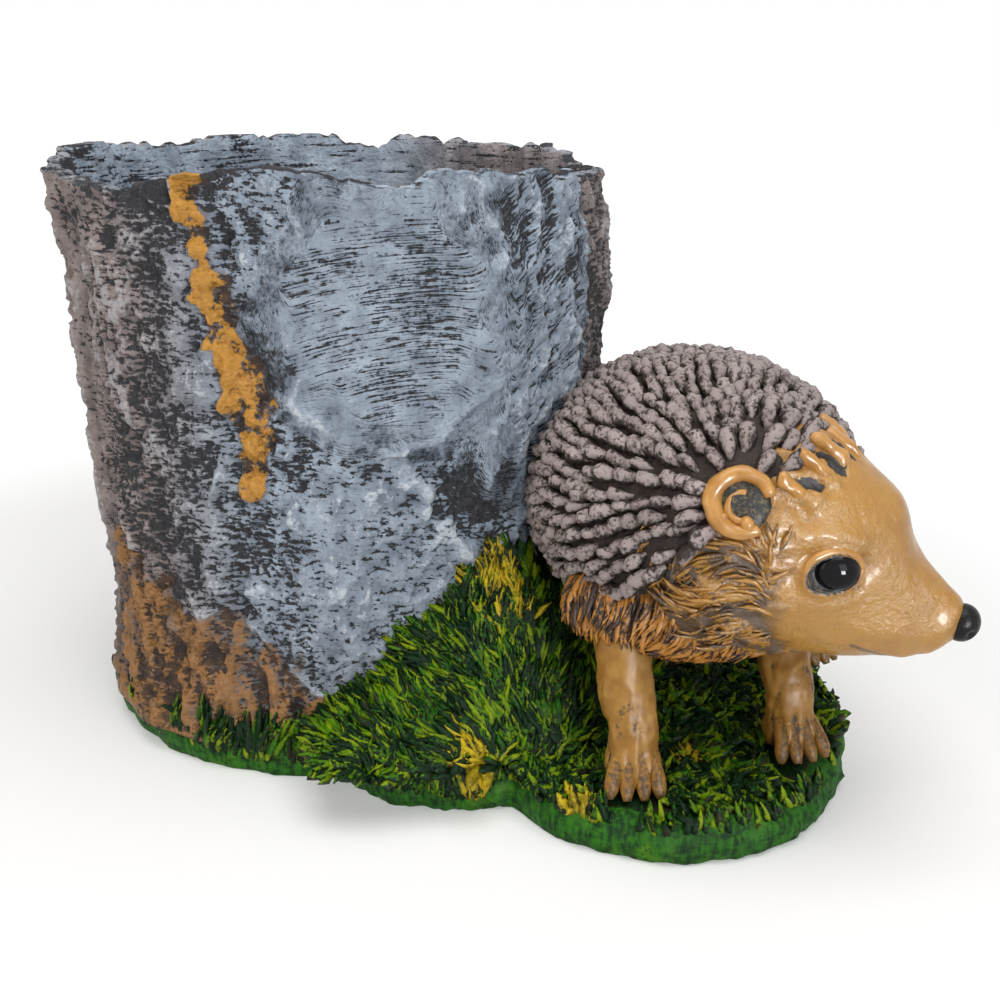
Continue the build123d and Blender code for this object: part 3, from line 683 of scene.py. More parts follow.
# Points of the quills' surface and its outward directions, from its slopes both ways
def quillRoots(directions):
    def surface(d):
        return quillSurface(d, quills["inset"])

    across = unit(np.cross(directions, (0.3, 0.2, 1.0)))
    upward = np.cross(across, directions)
    a = surface(unit(directions + 0.01 * across)) - surface(unit(directions - 0.01 * across))
    b = surface(unit(directions + 0.01 * upward)) - surface(unit(directions - 0.01 * upward))
    normals = unit(np.cross(a, b))
    return surface(directions), normals * np.sign((normals * directions).sum(-1, keepdims=True))


# Quills

quills = {
    "length": 9.6, "shorter": 2.2, "width": 5.0, "height": 2.6, "inset": 1.6,
    "profile": (0.3, 0.6, 0.85, 1.0, 1.05, 0.95, 0.5), "lift": (-0.4, -0.1, 0.1, 0.25, 0.42, 0.55, 0.5),
    "reach": 60, "ringReach": 66,  # about how far they lie from the middle of the body
    "rings": (0.16, 3.05),  # the first and last ring's angle from the ear
    "step": 6.8, "spacing": 5.9, "ropes": 3, "spare": 5000, "clear": 4.8, "apart": 5.0,
    "earClear": 10.0, "rows": 110, "columns": 180}


# Knobs in rings round the ear, in ropes that point at it: the same count and turns for a few rings.
# Each knob has an angle from the ear and a turn round it
def quillRings(rng):
    polar, turns = [], []
    ring, (angle, last) = 0, quills["rings"]
    while angle < last:
        if ring % quills["ropes"] == 0:
            across = quills["ringReach"] * np.sin(min(angle + 0.10, 3.0))
            count = max(8, int(2 * np.pi * across / quills["spacing"]))
            offsets = (np.arange(count) + rng.uniform(-0.16, 0.16, count)) / count + rng.uniform()
            shifts = rng.uniform(-0.5, 0.5, count) * quills["step"] / quills["reach"]
        polar.append(angle + shifts + rng.uniform(-0.02, 0.02, count))
        turns.append(offsets + rng.uniform(-0.06, 0.06, count) / count)
        ring, angle = ring + 1, angle + quills["step"] / quills["reach"]
    polar, turns = np.clip(np.concatenate(polar), 0.05, 3.1), np.concatenate(turns) * 2 * np.pi
    return polar, turns + 0.25 * np.sin(polar * 2.0)


# Scattered knobs for the holes: they keep clear of the ropes and of each other, and point away from the ear
def quillFill(rng, ropes, toEar):
    spot, square = quillRoots(unit(rng.normal(size=(quills["spare"], 3))))
    gap = np.linalg.norm(spot[:, None] - ropes[None], axis=-1).min(1)
    spot, square = spot[gap > quills["clear"]], square[gap > quills["clear"]]
    apart = np.linalg.norm(spot[:, None] - spot[None], axis=-1) + 99 * np.tri(len(spot)).T
    lone = apart.min(1) > quills["apart"]
    spot, square = spot[lone], square[lone]
    away = unit(np.cross(np.cross(toEar, unit(spot - hogMiddle)), square))
    away = away * np.sign(((spot - earPlace) * away).sum(-1, keepdims=True))
    return spot - away * 4, square, away


# Which knobs are clear of the stump, the belly, the face and the ear
def quillKeep(roots, ahead):
    lean, halfWidth, halfDepth = stumpSection(roots[:, 2])
    inStump = ((roots[:, 0] - lean) / halfWidth) ** 2 + (roots[:, 1] / halfDepth) ** 2 < 1.02
    onHead = np.linalg.norm(roots - skull, axis=-1) < 56 - 12 * ease((roots - skull) @ headAxes[1], 12, 26)
    keep = ~inStump & (roots[:, 2] > hog["skirt"] + 2) & ~((aheadOfEdge(roots + ahead * 4) > 0.8) & onHead)
    return keep & (np.linalg.norm(roots + ahead * 2 - earPlace, axis=-1) > quills["earClear"])


# A dark shell under knobs, which lie in ropes round the ear and in the holes between the ropes
def buildQuills():
    pole = unit(np.array([0.3, -0.95, -0.1]))
    directions = ballDirections(quills["rows"], quills["columns"], pole, unit(np.cross(pole, (0, 0, 1.0))))
    base = quillSurface(directions, quills["inset"] + 0.4)
    base = base + directions * 0.4 * rough(base, 4, 71, 2)[..., None]
    crest = 0.12 + 0.1 * rough(base, 3, 72, 2)
    under = gridPart(base, {"crest": crest, "tone": np.full(crest.shape, 0.5)})

    rng = np.random.default_rng(11)
    toEar = unit(earPlace - hogMiddle)
    first = unit(np.cross(toEar, (0, 0, 1.0)))
    polar, turns = quillRings(rng)
    around = first * np.cos(turns)[:, None] + np.cross(toEar, first) * np.sin(turns)[:, None]
    roots, out = quillRoots(toEar * np.cos(polar)[:, None] + around * np.sin(polar)[:, None])
    ahead = around * np.cos(polar)[:, None] - toEar * np.sin(polar)[:, None]
    ahead = unit(ahead + np.cross(out, ahead) * rng.normal(0, 0.10, len(roots))[:, None])
    ahead = unit(ahead - out * (ahead * out).sum(-1, keepdims=True))
    filled = quillFill(rng, roots + ahead * 4.0, toEar)
    roots, out, ahead = [np.vstack(pair) for pair in zip((roots, out, ahead), filled)]
    keep = quillKeep(roots, ahead)
    roots, out, ahead = roots[keep], out[keep], ahead[keep]
    low = ease(112 - roots[:, 2], 0, 26)
    size = rng.uniform(0.85, 1.15, len(roots))
    knobs = strands(
        roots - ahead * 1.0, ahead, out, (quills["length"] - quills["shorter"] * low) * size,
        quills["width"] * size, quills["height"] * size, quills["profile"], quills["lift"], sides=8,
        tone=rng.uniform(0, 1, len(roots)))
    return [under, roughened(roughened(knobs, 0.7, 4.0, 73), 0.28, 1.4, 77)]


# Light warm grey rubbed over the knobs' tops, brown black between them; a dark dot at each knob's end
def quillLook(s):
    fine = s.cloud(1.3, 5, 0.65)
    mid = s.cloud(4.0)
    tone = s.mark("tone")
    light = (s.mark("crest") * 1.0 + (fine - 0.5) * 1.2 + (mid - 0.5) * 0.8).step(0.70, 1.02)
    hollow = s.mark("reach").step(0.88, 0.95) * tone.step(0.62, 0.67)
    under = fine.step(0.3, 0.7).mix((0.016, 0.011, 0.010), (0.045, 0.030, 0.026))
    grey = tone.mix((0.26, 0.210, 0.200), (0.42, 0.355, 0.340))
    grey = mid.step(0.35, 0.75).mix(grey, (0.33, 0.275, 0.270))
    colour = (light * (1 - hollow)).mix(under, grey)
    return {"Base Color": colour, "Roughness": 0.55 - light * 0.12, "Normal": fine.bump(0.7, 0.001)}


quillPaint = paint("quills", quillLook, Specular_IOR_Level=0.25)
addPiece("quills", buildQuills(), quillPaint, "quills", "quill_coat", "quill_hood")


# Body below the quills, with its fur

fur = {
    "profile": (0.4, 0.9, 1.0, 0.7, 0.15), "lift": (-0.6, 0.0, 0.2, 0.2, -0.2), "sides": 5,
    "chestMiddle": (-4, -32, -26), "chestHalf": (40, 24, 19.0), "chestEnd": -60,
    # How many are tried, the way they lie, then their length, width and height
    "chest": {"count": 5200, "flow": (-0.5, 0, -1.0), "size": (9.0, 1.7, 0.9)},
    "skirt": {"count": 6500, "flow": (-0.35, 0, -1.0), "size": (8.0, 1.8, 0.9), "levels": (59, 72)},
    "cheek": {"count": 2500, "size": (9.5, 1.5, 0.65)}}


# Tufts of fur: flat strands that follow the flow over a surface, each with a random spin, size and bend
def furTufts(points, out, flow, size, seed, **more):
    rng = np.random.default_rng(seed)
    ahead = unit(flow - out * (flow * out).sum(-1, keepdims=True))
    spin = (rng.normal(0, 0.10, len(points)) + 0.8 * grain(points, 12, 25))[:, None]
    ahead = unit(ahead + np.cross(out, ahead) * spin)
    scale = rng.uniform(0.6, 1.4, len(points))
    length, width, height = [value * scale for value in size]
    tone = rng.uniform(0, 1, len(points))
    bend = 0.30 * grain(points, 8, 26) + rng.normal(0, 0.05, len(points))
    tufts = strands(
        points, ahead, out, length, width, height, fur["profile"], fur["lift"], sides=fur["sides"],
        tone=tone, bend=bend, **more)
    return roughened(tufts, 0.45, 2.2, seed)


# The trunk, the chest and the tufts on the chest and below the quills' lower edge
def buildTorso():
    rng = np.random.default_rng(21)
    directions = ballDirections(70, 120)
    trunk = hogMiddle + directions * exitFrom(directions, (0, 0, 0), bodyAxes, hog["trunkHalf"])[..., None]
    trunk = trunk + directions * 0.8 * rough(trunk, 6, 80)[..., None]
    chestMiddle, half = hogMiddle + fur["chestMiddle"], np.array(fur["chestHalf"])
    chest = chestMiddle + directions * half
    lumps = rough(chest, (11, 11, 9), 81)
    chest = chest + unit(directions / half) * (1.8 * lumps)[..., None]
    parts = [
        gridPart(trunk, {"crest": np.full(trunk.shape[:2], 0.2), "fur": 0 * trunk[..., 0]}),
        gridPart(chest, {"crest": 0.45 + 0.35 * lumps, "fur": 1 + 0 * lumps})]

    def tufts(key, on, out, keep, seed):
        on, out = on[keep], out[keep]
        return furTufts(on, out, 0 * on + fur[key]["flow"], fur[key]["size"], seed, fur=np.ones((len(on), 1)))

    d = unit(rng.normal(size=(fur["chest"]["count"], 3)))
    on = chestMiddle + d * half
    keep = (on[:, 1] < fur["chestEnd"]) & (rng.uniform(size=len(d)) < 0.75)
    parts.append(tufts("chest", on, unit(d / half), keep, 22))
    d = unit(rng.normal(size=(fur["skirt"]["count"], 3)))
    on = hogMiddle + d * exitFrom(d, (0, 0, 0), bodyAxes, np.array(hog["trunkHalf"]) + 1)[..., None]
    low, high = fur["skirt"]["levels"]
    parts.append(tufts("skirt", on, d, (on[:, 2] < high) & (on[:, 2] > low), 23))
    return parts


# Ochre on what stands out, dark brown in the grooves
def furLook(s):
    fine = s.cloud(1.2, 5, 0.65)
    mid = s.cloud(7.0)
    tone = s.mark("tone")
    light = s.mark("crest") * 0.6 + (tone - 0.5) * 0.5 + (fine - 0.5) * 1.0 + (mid - 0.5) * 1.8
    light = light.step(0.30, 0.55) * s.mark("fur")
    under = fine.step(0.3, 0.7).mix((0.020, 0.012, 0.009), (0.07, 0.036, 0.020))
    ochre = mid.step(0.3, 0.7).mix((0.37, 0.140, 0.018), (0.55, 0.250, 0.042))
    ochre = tone.step(0.4, 1.0).mix(ochre, (0.48, 0.205, 0.036))
    colour = light.mix(under, ochre)
    return {"Base Color": colour, "Roughness": 0.55 - light * 0.18, "Normal": fine.bump(0.5, 0.0005)}


furPaint = paint("fur", furLook, Specular_IOR_Level=0.35)
trunk, chest, chestTufts, skirtTufts = buildTorso()
addPiece("torso_fur", [trunk, chest, skirtTufts], furPaint, "fur", "torso")
addPiece("chest_tufts", [chestTufts], furPaint, "fur")


# Head

headShape = {
    "places": (-0.21, 0.0, 0.28, 0.45, 0.63, 0.77, 0.89, 0.97, 1.0),
    "tops": (0.80, 1.0, 1.07, 0.93, 0.67, 0.43, 0.27, 0.19, 0.13),
    "bottoms": (0.80, 0.98, 0.78, 0.69, 0.60, 0.48, 0.36, 0.25, 0.14),
    "sides": (0.85, 1.0, 0.90, 0.77, 0.57, 0.40, 0.27, 0.20, 0.13),
    "rows": 170, "columns": 200,
    "hills": (  # ahead, up, half width along, half width up, height; the same on both sides
        (33, 21, 10, 3.6, 1.9), (20, -6, 15, 12, 1.6), (49, 3, 7, 8, -1.2), (58, -7, 10, 5, 1.0),
        (44, 14, 4, 5, -1.0), (26, 30, 10, 6, 0.8), (60, -13.5, 12, 2.6, 1.3), (35, 1.5, 8, 3.2, 0.9)),
    "ridge": ((45, 7, 12, 2.6), (57, 6, 9, -1.0)),  # ahead, half width along, half width across, height
    "grooves": (  # corners ahead and up, width, depth, share of dark paint
        (((41.5, 16), (43.0, 12), (43.8, 7)), 1.4, 1.5, 1),
        (((49, -13.2), (54, -14.2), (61, -14.8)), 0.8, 0.5, 1),
        (((30, 16), (24, 14), (19, 11)), 1.6, 0.5, 0))}
eye = {  # in the head's axes; middle on the hedgehog's right, tilt in degrees
    "middle": (35.0, -25.9, 11.0), "tilt": 25, "globe": (34.8, 22.0, 11.0), "half": (7.9, 6.4, 6.9)}
lids = (  # half length, half height, rise, radius, darkness, roughness
    (7.6, 6.6, 0.3, 1.15, 0.0, 0.2), (6.5, 5.6, 0.9, 0.55, 1.0, 0.0))
crown = {"angles": (-50, -34, -17, 0, 17, 34, 50), "gaps": (8.5, 25.5, 42), "length": 14.0, "width": 2.2}


# The head's bare surface: an ellipse at each share of the muzzle's length, at an angle round the axis
def headSurface(share, angle):
    top, bottom, side = headHalves(share)
    up = (top - bottom) / 2 + (top + bottom) / 2 * np.sin(angle)
    return np.stack([share * hog["muzzle"] + 0 * angle, side * np.cos(angle), up], -1)


# How far the head reaches up, down and sideways at a share of the muzzle's length, from its tables
def headHalves(share):
    wide, tall = hog["skullHalf"]
    return [
        curve(share, headShape["places"], headShape[key]) * half
        for key, half in (("tops", tall), ("bottoms", tall), ("sides", wide))]


# How far a place on the head's side is from the eye's middle: an almond's distance in millimetres
def fromEye(ahead, up):
    x, y, tilt = ahead - eye["middle"][0], up - eye["middle"][2], np.radians(eye["tilt"])
    along = x * np.cos(tilt) + y * np.sin(tilt)
    over = y * np.cos(tilt) - x * np.sin(tilt)
    return np.hypot(along * np.where(along < 0, 0.80, 0.92), over * 1.05 + 0.012 * along**2)


# The skin: the bare surface moved along its normal by hills, grooves, lids, fur and knobs
def buildHead():
    share = np.linspace(headShape["places"][0], headShape["places"][-1], headShape["rows"])[:, None]
    angle = (np.arange(headShape["columns"]) / headShape["columns"] * 2 * np.pi)[None]
    base = headSurface(share, angle)
    a = headSurface(share + 0.002, angle) - headSurface(share - 0.002, angle)
    b = headSurface(share, angle + 0.01) - headSurface(share, angle - 0.01)
    out = unit(np.cross(b, a))
    out = out * np.sign((out * (base * (0, 1, 1))).sum(-1, keepdims=True))
    ahead, left, up = np.moveaxis(base, -1, 0)
    world = fromHead(base)
    sideways = ease(np.abs(out[..., 1]), 0.15, 0.6)
    height, tear = np.zeros(ahead.shape), 0
    for x, z, wide, tall, rise in headShape["hills"]:
        height += rise * sideways * hill(np.hypot((ahead - x) / wide, (up - z) / tall))
    for line, width, depth, dark in headShape["grooves"]:
        far = lineAt(np.stack([ahead, up], -1), line)[0]
        height -= depth * sideways * hill(far, width)
        tear = tear + dark * hill(far, 1.3) * sideways
    # Brow over the middle, then the dip of the bridge
    for x, wide, across, rise in headShape["ridge"]:
        height += rise * hill(np.hypot((ahead - x) / wide, left / across)) * ease(out[..., 2], 0.2, 0.8)
    # Eye: a hollow, then lids as an almond ring round it
    almond = fromEye(ahead, up)
    lid = 1.5 * hill(almond - 6.6, 0.9) - 1.2 * ease(5.8 - almond, 0, 1.0) - 0.5 * hill(almond - 9.2, 1.6)
    height += sideways * lid
    # Fur on the cheek and throat, and knobs on the forehead, all shrinking towards the smooth face
    furry = 27 - ahead + 0.5 * np.maximum(-4 - up, 0) + 4 * grain(world, 6, 90)
    furry = ease(furry, 0, 10) * ease(18 - up, 0, 10)
    combed = rough(np.stack([ahead + 0.35 * up, 0 * up, up - 0.3 * ahead], -1), (8, 1, 2.6), 91)
    height += furry * (1.3 * combed + 1.6 * rough(world, 9, 92, 2))
    knobbly = ease(up, 14, 24) * ease(32 - ahead + 6 * grain(world, 8, 93), 0, 12)
    height += knobbly * 1.5 * rough(np.stack([ahead * 0.45, left, up], -1), 3.4, 94, 2)
    height += 0.18 * rough(world, 5, 95, 2)
    speck = ease(np.hypot((ahead - 58) / 16, (up - 2) / 16), 1.6, 0.6) * 0.25
    speck += ease(np.hypot((ahead - 26) / 10, (up - 26) / 5), 1.4, 0.4) * 0.6
    # Dark gaps between the crown quills, and one behind the right ear
    offset = np.abs(np.degrees(angle)[..., None] - 90)
    sidestep = (offset - np.array(crown["gaps"])) * 0.62 / 2.6
    pits = np.hypot((ahead[..., None] - 24.5 + 0.09 * offset) / 5.5, sidestep).min(-1)
    pits = np.minimum(pits, np.hypot((ahead - 2) / 4.5, (up - 19 - 0.6 * ahead) / 3.5) + 9 * (left > 0))
    gaps = ease(1.15 - pits + 0.7 * rough(world, 3.2, 97, 2), 0, 0.4)
    height -= 1.2 * gaps
    points = base + out * height[..., None]
    skin = gridPart(fromHead(points), {
        "crest": 0.5 + 0.28 * combed, "fur": furry, "speck": speck, "groove": np.clip(tear, 0, 1),
        "lid": sideways * ease(7.0 - almond, 0, 0.7), "knob": knobbly, "tone": 0 * furry + 0.3, "gap": gaps})
    return [skin, cheekTufts(points, out, furry)]


# Tufts on cheek and throat, swept back and down in swirls
def cheekTufts(points, out, furry):
    rng = np.random.default_rng(35)
    chance = furry * np.abs(out[..., 1] * 0.6 + 0.4)
    pick = rng.choice(furry.size, fur["cheek"]["count"], p=chance.ravel() / chance.sum(), replace=False)
    roots, square = fromHead(points).reshape(-1, 3)[pick], (out @ headAxes).reshape(-1, 3)[pick]
    swirls = 1.6 * grain(roots, 9, 96)[:, None]
    flow = -headAxes[0] * np.cos(swirls) - headAxes[2] * (0.25 + np.sin(swirls))
    zeros = np.zeros((len(pick), 1))
    blank = {name: zeros for name in ("speck", "groove", "lid", "knob", "gap")}
    return furTufts(roots - square * 0.1, square, flow, fur["cheek"]["size"], 36, fur=1 + zeros, **blank)


# Ochre with a sheen; brown in the tear and mouth grooves and specks, streaked brown fur on the cheek
def headLook(s):
    fine = s.cloud(1.0, 5, 0.65)
    mid = s.cloud(5.0)
    wide = s.cloud(22.0, 2)
    ochre = wide.step(0.3, 0.7).mix((0.35, 0.155, 0.014), (0.43, 0.208, 0.026))
    ochre = (mid.step(0.35, 0.8) * 0.5).mix(ochre, (0.48, 0.255, 0.045))
    ochre = (fine.step(0.62, 0.75) * 0.40).mix(ochre, (0.20, 0.09, 0.03))
    low = (1 - s.mark("crest")) * 0.5
    dark = low + (0.5 - s.mark("tone")) * 0.5 + (fine - 0.5) * 1.1 + (s.cloud(8.0) - 0.5) * 2.0
    dark = dark.step(0.10, 0.32) * s.mark("fur")
    dark = dark.most((low + (fine - 0.5) * 1.4).step(0.30, 0.5) * s.mark("knob") * 0.45)
    specks = ((0.36 - fine) * 4 + s.mark("speck") * 0.7).step(0.35, 0.6) * s.mark("speck").step(0.02, 0.3)
    groove = (s.mark("groove") * 1.1 + (fine - 0.5) * 1.2).step(0.5, 1.0) * 0.7
    brown = fine.step(0.3, 0.7).mix((0.022, 0.014, 0.010), (0.09, 0.05, 0.028))
    colour = (dark * 0.92).most(specks * 0.75).most(groove).mix(ochre, brown)
    black = (s.mark("gap") + (fine - 0.5) * 0.9).step(0.38, 0.6).most(s.mark("lid").step(0.4, 0.9))
    return {
        "Base Color": black.mix(colour, (0.014, 0.012, 0.013)),
        "Roughness": 0.25 + dark * 0.3 + black * 0.2 + (wide - 0.5) * 0.12,
        "Coat Weight": (1 - black) * (1 - dark * 0.8) * 0.18,
        "Normal": (mid + fine * 0.7 + s.cloud(2.4)).bump(0.7, 0.0008)}


headPaint = paint("head", headLook, Coat_Roughness=0.14, Specular_IOR_Level=0.5)
addPiece("head_skin", buildHead(), headPaint, "fur", "head")


# A place on the head's side at places ahead and up, raised off the skin; way is 1 for its right
def onSide(ahead, up, rise, way):
    top, bottom, side = headHalves(ahead / hog["muzzle"])
    middle, half = (top - bottom) / 2, (top + bottom) / 2
    out = side * np.sqrt(np.clip(1 - ((up - middle) / half) ** 2, 0, 1)) + rise
    return fromHead(np.stack([ahead, -out * way, up], -1))


# A roll round an eye: a tube along a tilted ellipse, a little flatter in front and thicker above
def buildLid(way, long, tall, rise, radius, dark, bumps):
    turn, tilt = np.linspace(0, 2 * np.pi, 73), np.radians(eye["tilt"])
    along, over = long * np.cos(turn), tall * np.sin(turn) * (1 - 0.10 * np.cos(turn))
    ahead = eye["middle"][0] + along * np.cos(tilt) - over * np.sin(tilt)
    up = eye["middle"][2] + along * np.sin(tilt) + over * np.cos(tilt)
    radii = radius * (1 + 0.25 * np.sin(turn))
    ring = tube(onSide(ahead, up, rise, way), radii, 14, up=-headAxes[1] * way, dark=dark)
    return roughened(ring, bumps, 3, 150)


# Eyes and nose

# An ellipsoid round a middle, in the head's axes
def ball(middle, half, rows, columns, **marks):
    directions = ballDirections(rows, columns)
    marks = {name: np.full(directions.shape[:2], value) for name, value in marks.items()}
    return gridPart(middle + (directions * half) @ headAxes, marks)


# Black glass with a thin pale line round its lower edge: a painted reflection
def glassLook(s):
    black = s.cloud(6).mix((0.004, 0.004, 0.005), (0.012, 0.010, 0.012))
    return {"Base Color": (s.mark("rim") * 0.9).mix(black, (0.24, 0.30, 0.36))}


# A glass eye on one side, with the strength of the painted reflection along its lower edge as a mark
def buildEye(way):
    middle = fromHead(eye["globe"] * np.array([1, -way, 1]))
    globe = ball(middle, eye["half"], 60, 80)
    spoke = unit((globe["points"] - middle) @ headAxes.T)
    low = ease(0.35 - spoke[:, 2], 0, 0.5) * ease(0.75 - spoke[:, 0], 0, 0.4)
    # The pale line round the lower edge is a painted reflection on the glass
    globe["marks"]["rim"] = (hill(-spoke[:, 1] * way - 0.60, 0.055) * low)[:, None]
    return globe


glassPaint = paint("glass", glassLook, Roughness=0.05, Specular_IOR_Level=0.13)
for hand, way in (("right", 1), ("left", -1)):
    addPiece(f"{hand}_eye_glass", [buildEye(way)], glassPaint, "eye_glass", f"{hand}_eye")

nose = {
    "radius": 5.8, "stretch": (0.95, 1.0, 1.06), "place": (77.6, 0, 0.6), "groove": 0.12,
    "nostril": (0.62, 0.72, -0.18), "nostrilDepth": 1.1, "nostrilWidth": 0.26}


# A ball with a groove down its front and a nostril on each side
def buildNose():
    directions = ballDirections(60, 80)
    x, y, z = np.moveaxis(directions, -1, 0)
    size = nose["radius"] * (1 - nose["groove"] * hill(y, 0.10) * ease(x, 0.2, 0.9) * ease(0.2 - z, 0, 0.5))
    for side in (-1, 1):
        far = np.linalg.norm(directions - unit(nose["nostril"] * np.array([1, side, 1])), axis=-1)
        size = size - nose["nostrilDepth"] * hill(far, nose["nostrilWidth"])
    return gridPart(fromHead(directions * size[..., None] * nose["stretch"] + nose["place"]))


# Near black, with a fine grain in its colour and gloss
def noseLook(s):
    fine = s.cloud(0.9, 4)
    colour = fine.mix((0.006, 0.006, 0.007), (0.020, 0.018, 0.018))
    return {"Base Color": colour, "Roughness": fine * 0.15 + 0.18, "Normal": fine.bump(0.25, 0.0004)}


addPiece("nose_tip", [buildNose()], paint("nose", noseLook, Specular_IOR_Level=0.13), "nose_black", "nose")


# Ear: a thick open ring round a dark bowl, a second curl inside it and two beads at its lower end

ear = {
    "outward": (-0.184, -0.8726, 0.4524),
    # First and last degree, radius, middle, thickness, share at the ends, growth, power, sides, darkness
    "rolls": (
        (35, 325, 8.6, (0, 0), 2.5, 0.62, 0.5, 0.6, 14, 0.0),
        (95, 300, 4.3, (0.8, -1.0), 1.25, 0.7, 0.4, 1.0, 10, 0.35)),
    "beads": (((4.2, -5.2, 2.4), 2.1), ((-3.4, -6.0, 2.0), 1.5)),  # place, radius
    # Depth, radius, flatness, shift, darkness
    "shells": ((-0.8, 8.6, 0.72, 0.0, 1.0), (-2.6, 9.6, 0.65, 1.4, 0.0))}


# The ear: tubes along arcs, beads, and two balls pressed flat, all in axes that stand on the head's side
def buildEar():
    outward, ahead = unit(np.array(ear["outward"])), headAxes[0]
    upward = np.cross(ahead, outward)
    upward = upward * np.sign(upward[2])

    def spot(x, y, z):
        return earPlace + np.multiply.outer(x, ahead) + np.multiply.outer(y, upward) + outward * z

    parts = []
    way = np.linspace(0, 1, 40)
    for start, end, radius, middle, thick, least, growth, power, sides, dark in ear["rolls"]:
        angle = np.radians(np.linspace(start, end, 40))
        path = spot(middle[0] + radius * np.cos(angle), middle[1] + radius * np.sin(angle), 1.2)
        radii = thick * (least + growth * np.sin(way * np.pi) ** power)
        parts.append(tube(path, radii, sides, up=outward, dark=dark))
    for place, radius in ear["beads"]:
        parts.append(ball(spot(*place), radius, 20, 24, dark=0.0))
    # The bowl and the ear's back: balls pressed flat along the way outwards
    for depth, radius, flatness, shift, dark in ear["shells"]:
        shell = ball(spot(0, 0, depth), radius, 30, 40, dark=dark)
        rise = (shell["points"] - earPlace) @ outward
        shell["points"] = shell["points"] - outward * (rise * flatness + shift)[:, None]
        parts.append(shell)
    return [roughened(part, 0.55, 4.0, 100 + i) for i, part in enumerate(parts)]


# Ochre with a sheen, and near black where the mesh is marked dark
def earLook(s):
    fine = s.cloud(1.1, 5, 0.65)
    dark = (s.mark("dark") + (fine - 0.5) * 0.9).step(0.45, 0.75)
    ochre = s.cloud(6).step(0.3, 0.7).mix((0.40, 0.180, 0.034), (0.52, 0.260, 0.062))
    under = fine.step(0.45, 0.75).mix((0.010, 0.011, 0.012), (0.20, 0.15, 0.07))
    colour = dark.mix(ochre, under)
    return {"Base Color": colour, "Roughness": 0.36 + dark * 0.15, "Coat Weight": (1 - dark) * 0.4}


earPaint = paint("ear", earLook, Specular_IOR_Level=0.3, Coat_Roughness=0.14)
addPiece("ear_skin", buildEar(), earPaint, "fur", "right_ear")
addPiece("eyelids", [buildLid(way, *lid) for way in (1, -1) for lid in lids], earPaint, "fur")


# Crown quills: thick tubes that rise backwards off the forehead, each with a dark end
def buildCrown():
    parts = []
    rng = np.random.default_rng(31)
    for i, angle in enumerate(crown["angles"]):
        on = headSurface(np.array(0.41 - 0.0026 * abs(angle)), np.radians(90 + angle))
        outward = unit(on * (0, 1, 1))
        long = crown["length"] + rng.uniform(-2, 2)
        path = [
            on + (-back, 0, 0) + outward * rise
            for back, rise in ((1, -2.2), (4, 0.9), (long * 0.6, 3.0), (long, 4.4))]
        width = crown["width"] * np.array([0.7, 0.8, 0.9] + [1.0] * 9 + [1.05, 1.1, 1.05, 0.55])
        shade = np.zeros((16, 12))
        shade[-1:] = 1
        quill = tube(fromHead(pathThrough(path, 16)), width, 12, up=headAxes[2], dark=shade)
        parts.append(roughened(quill, 0.9, 3.0, 110 + i))
    return parts


addPiece("crown_tubes", buildCrown(), earPaint, "fur", "crown_quills")


# Legs: a tube from the body to the ankle, an instep, and four long toes

legs = (  # node, paw on the turf, top in the body, turn of the paw
    ("front_right_leg", (108.5, -102.0), (103.9, -94.9), 0.0),
    ("front_left_leg", (165.5, -79.9), (162.1, -63.0), 14.0),
    ("hind_left_leg", (184.9, -11.0), (162.1, -22.7), 30.0),
    ("hind_right_leg", (126.7, -9.7), (130.1, -18.8), 0.0))
leg = {
    "ground": 16.0, "top": 78.0, "rings": 60, "toeRings": 26, "ridge": 0.8, "ridgeWidth": 5.0, "hair": 0.45,
    "places": (0, 0.25, 0.5, 0.7, 0.85, 1.0), "radii": (9.5, 9.2, 8.2, 8.2, 9.4, 8.0),
    "toePlaces": (0, 0.3, 0.6, 0.85, 1.0), "toeRadii": (1.6, 2.3, 2.5, 2.3, 1.2)}


# The leg and instep, with ridges that run into the toes and combed hair
def buildShank(ground, high, aside, toes, seed):
    path = pathThrough([
        high + (0, 9, 4), ground * 0.45 + high * 0.55, ground + (0, 0, 22),
        ground + (0, 0, 12) + toes * 1.5, ground + (0, 0, 3) + toes * 3], leg["rings"])
    radii = curve(np.linspace(0, 1, leg["rings"]), leg["places"], leg["radii"])
    shank = tube(path, radii, 60, up=-toes, fur=1.0, groove=0.0)
    p = shank["points"]
    fromGround = p - ground
    ridges = np.cos(fromGround @ aside / leg["ridgeWidth"] * 2 * np.pi) * (fromGround @ toes > 0)
    ridges = ridges * ease(40 - p[:, 2], 0, 16)
    hair = rough(p, (2.0, 2.0, 8.0), seed + 4)
    lumps = 0.5 * np.stack([rough(p, 7, seed + i) for i in range(3)], -1)
    outward = unit(fromGround * (1, 1, 0))
    p = p + toes * (leg["ridge"] * ridges)[:, None] + lumps
    shank["marks"]["groove"] = ease(-ridges, 0.2, 1.0)[:, None]
    shank["marks"]["crest"] = (0.70 + 0.45 * hair + 0.25 * rough(shank["points"], 9, seed + 6, 2))[:, None]
    shank["points"] = p + outward * (leg["hair"] * hair)[:, None]
    return shank


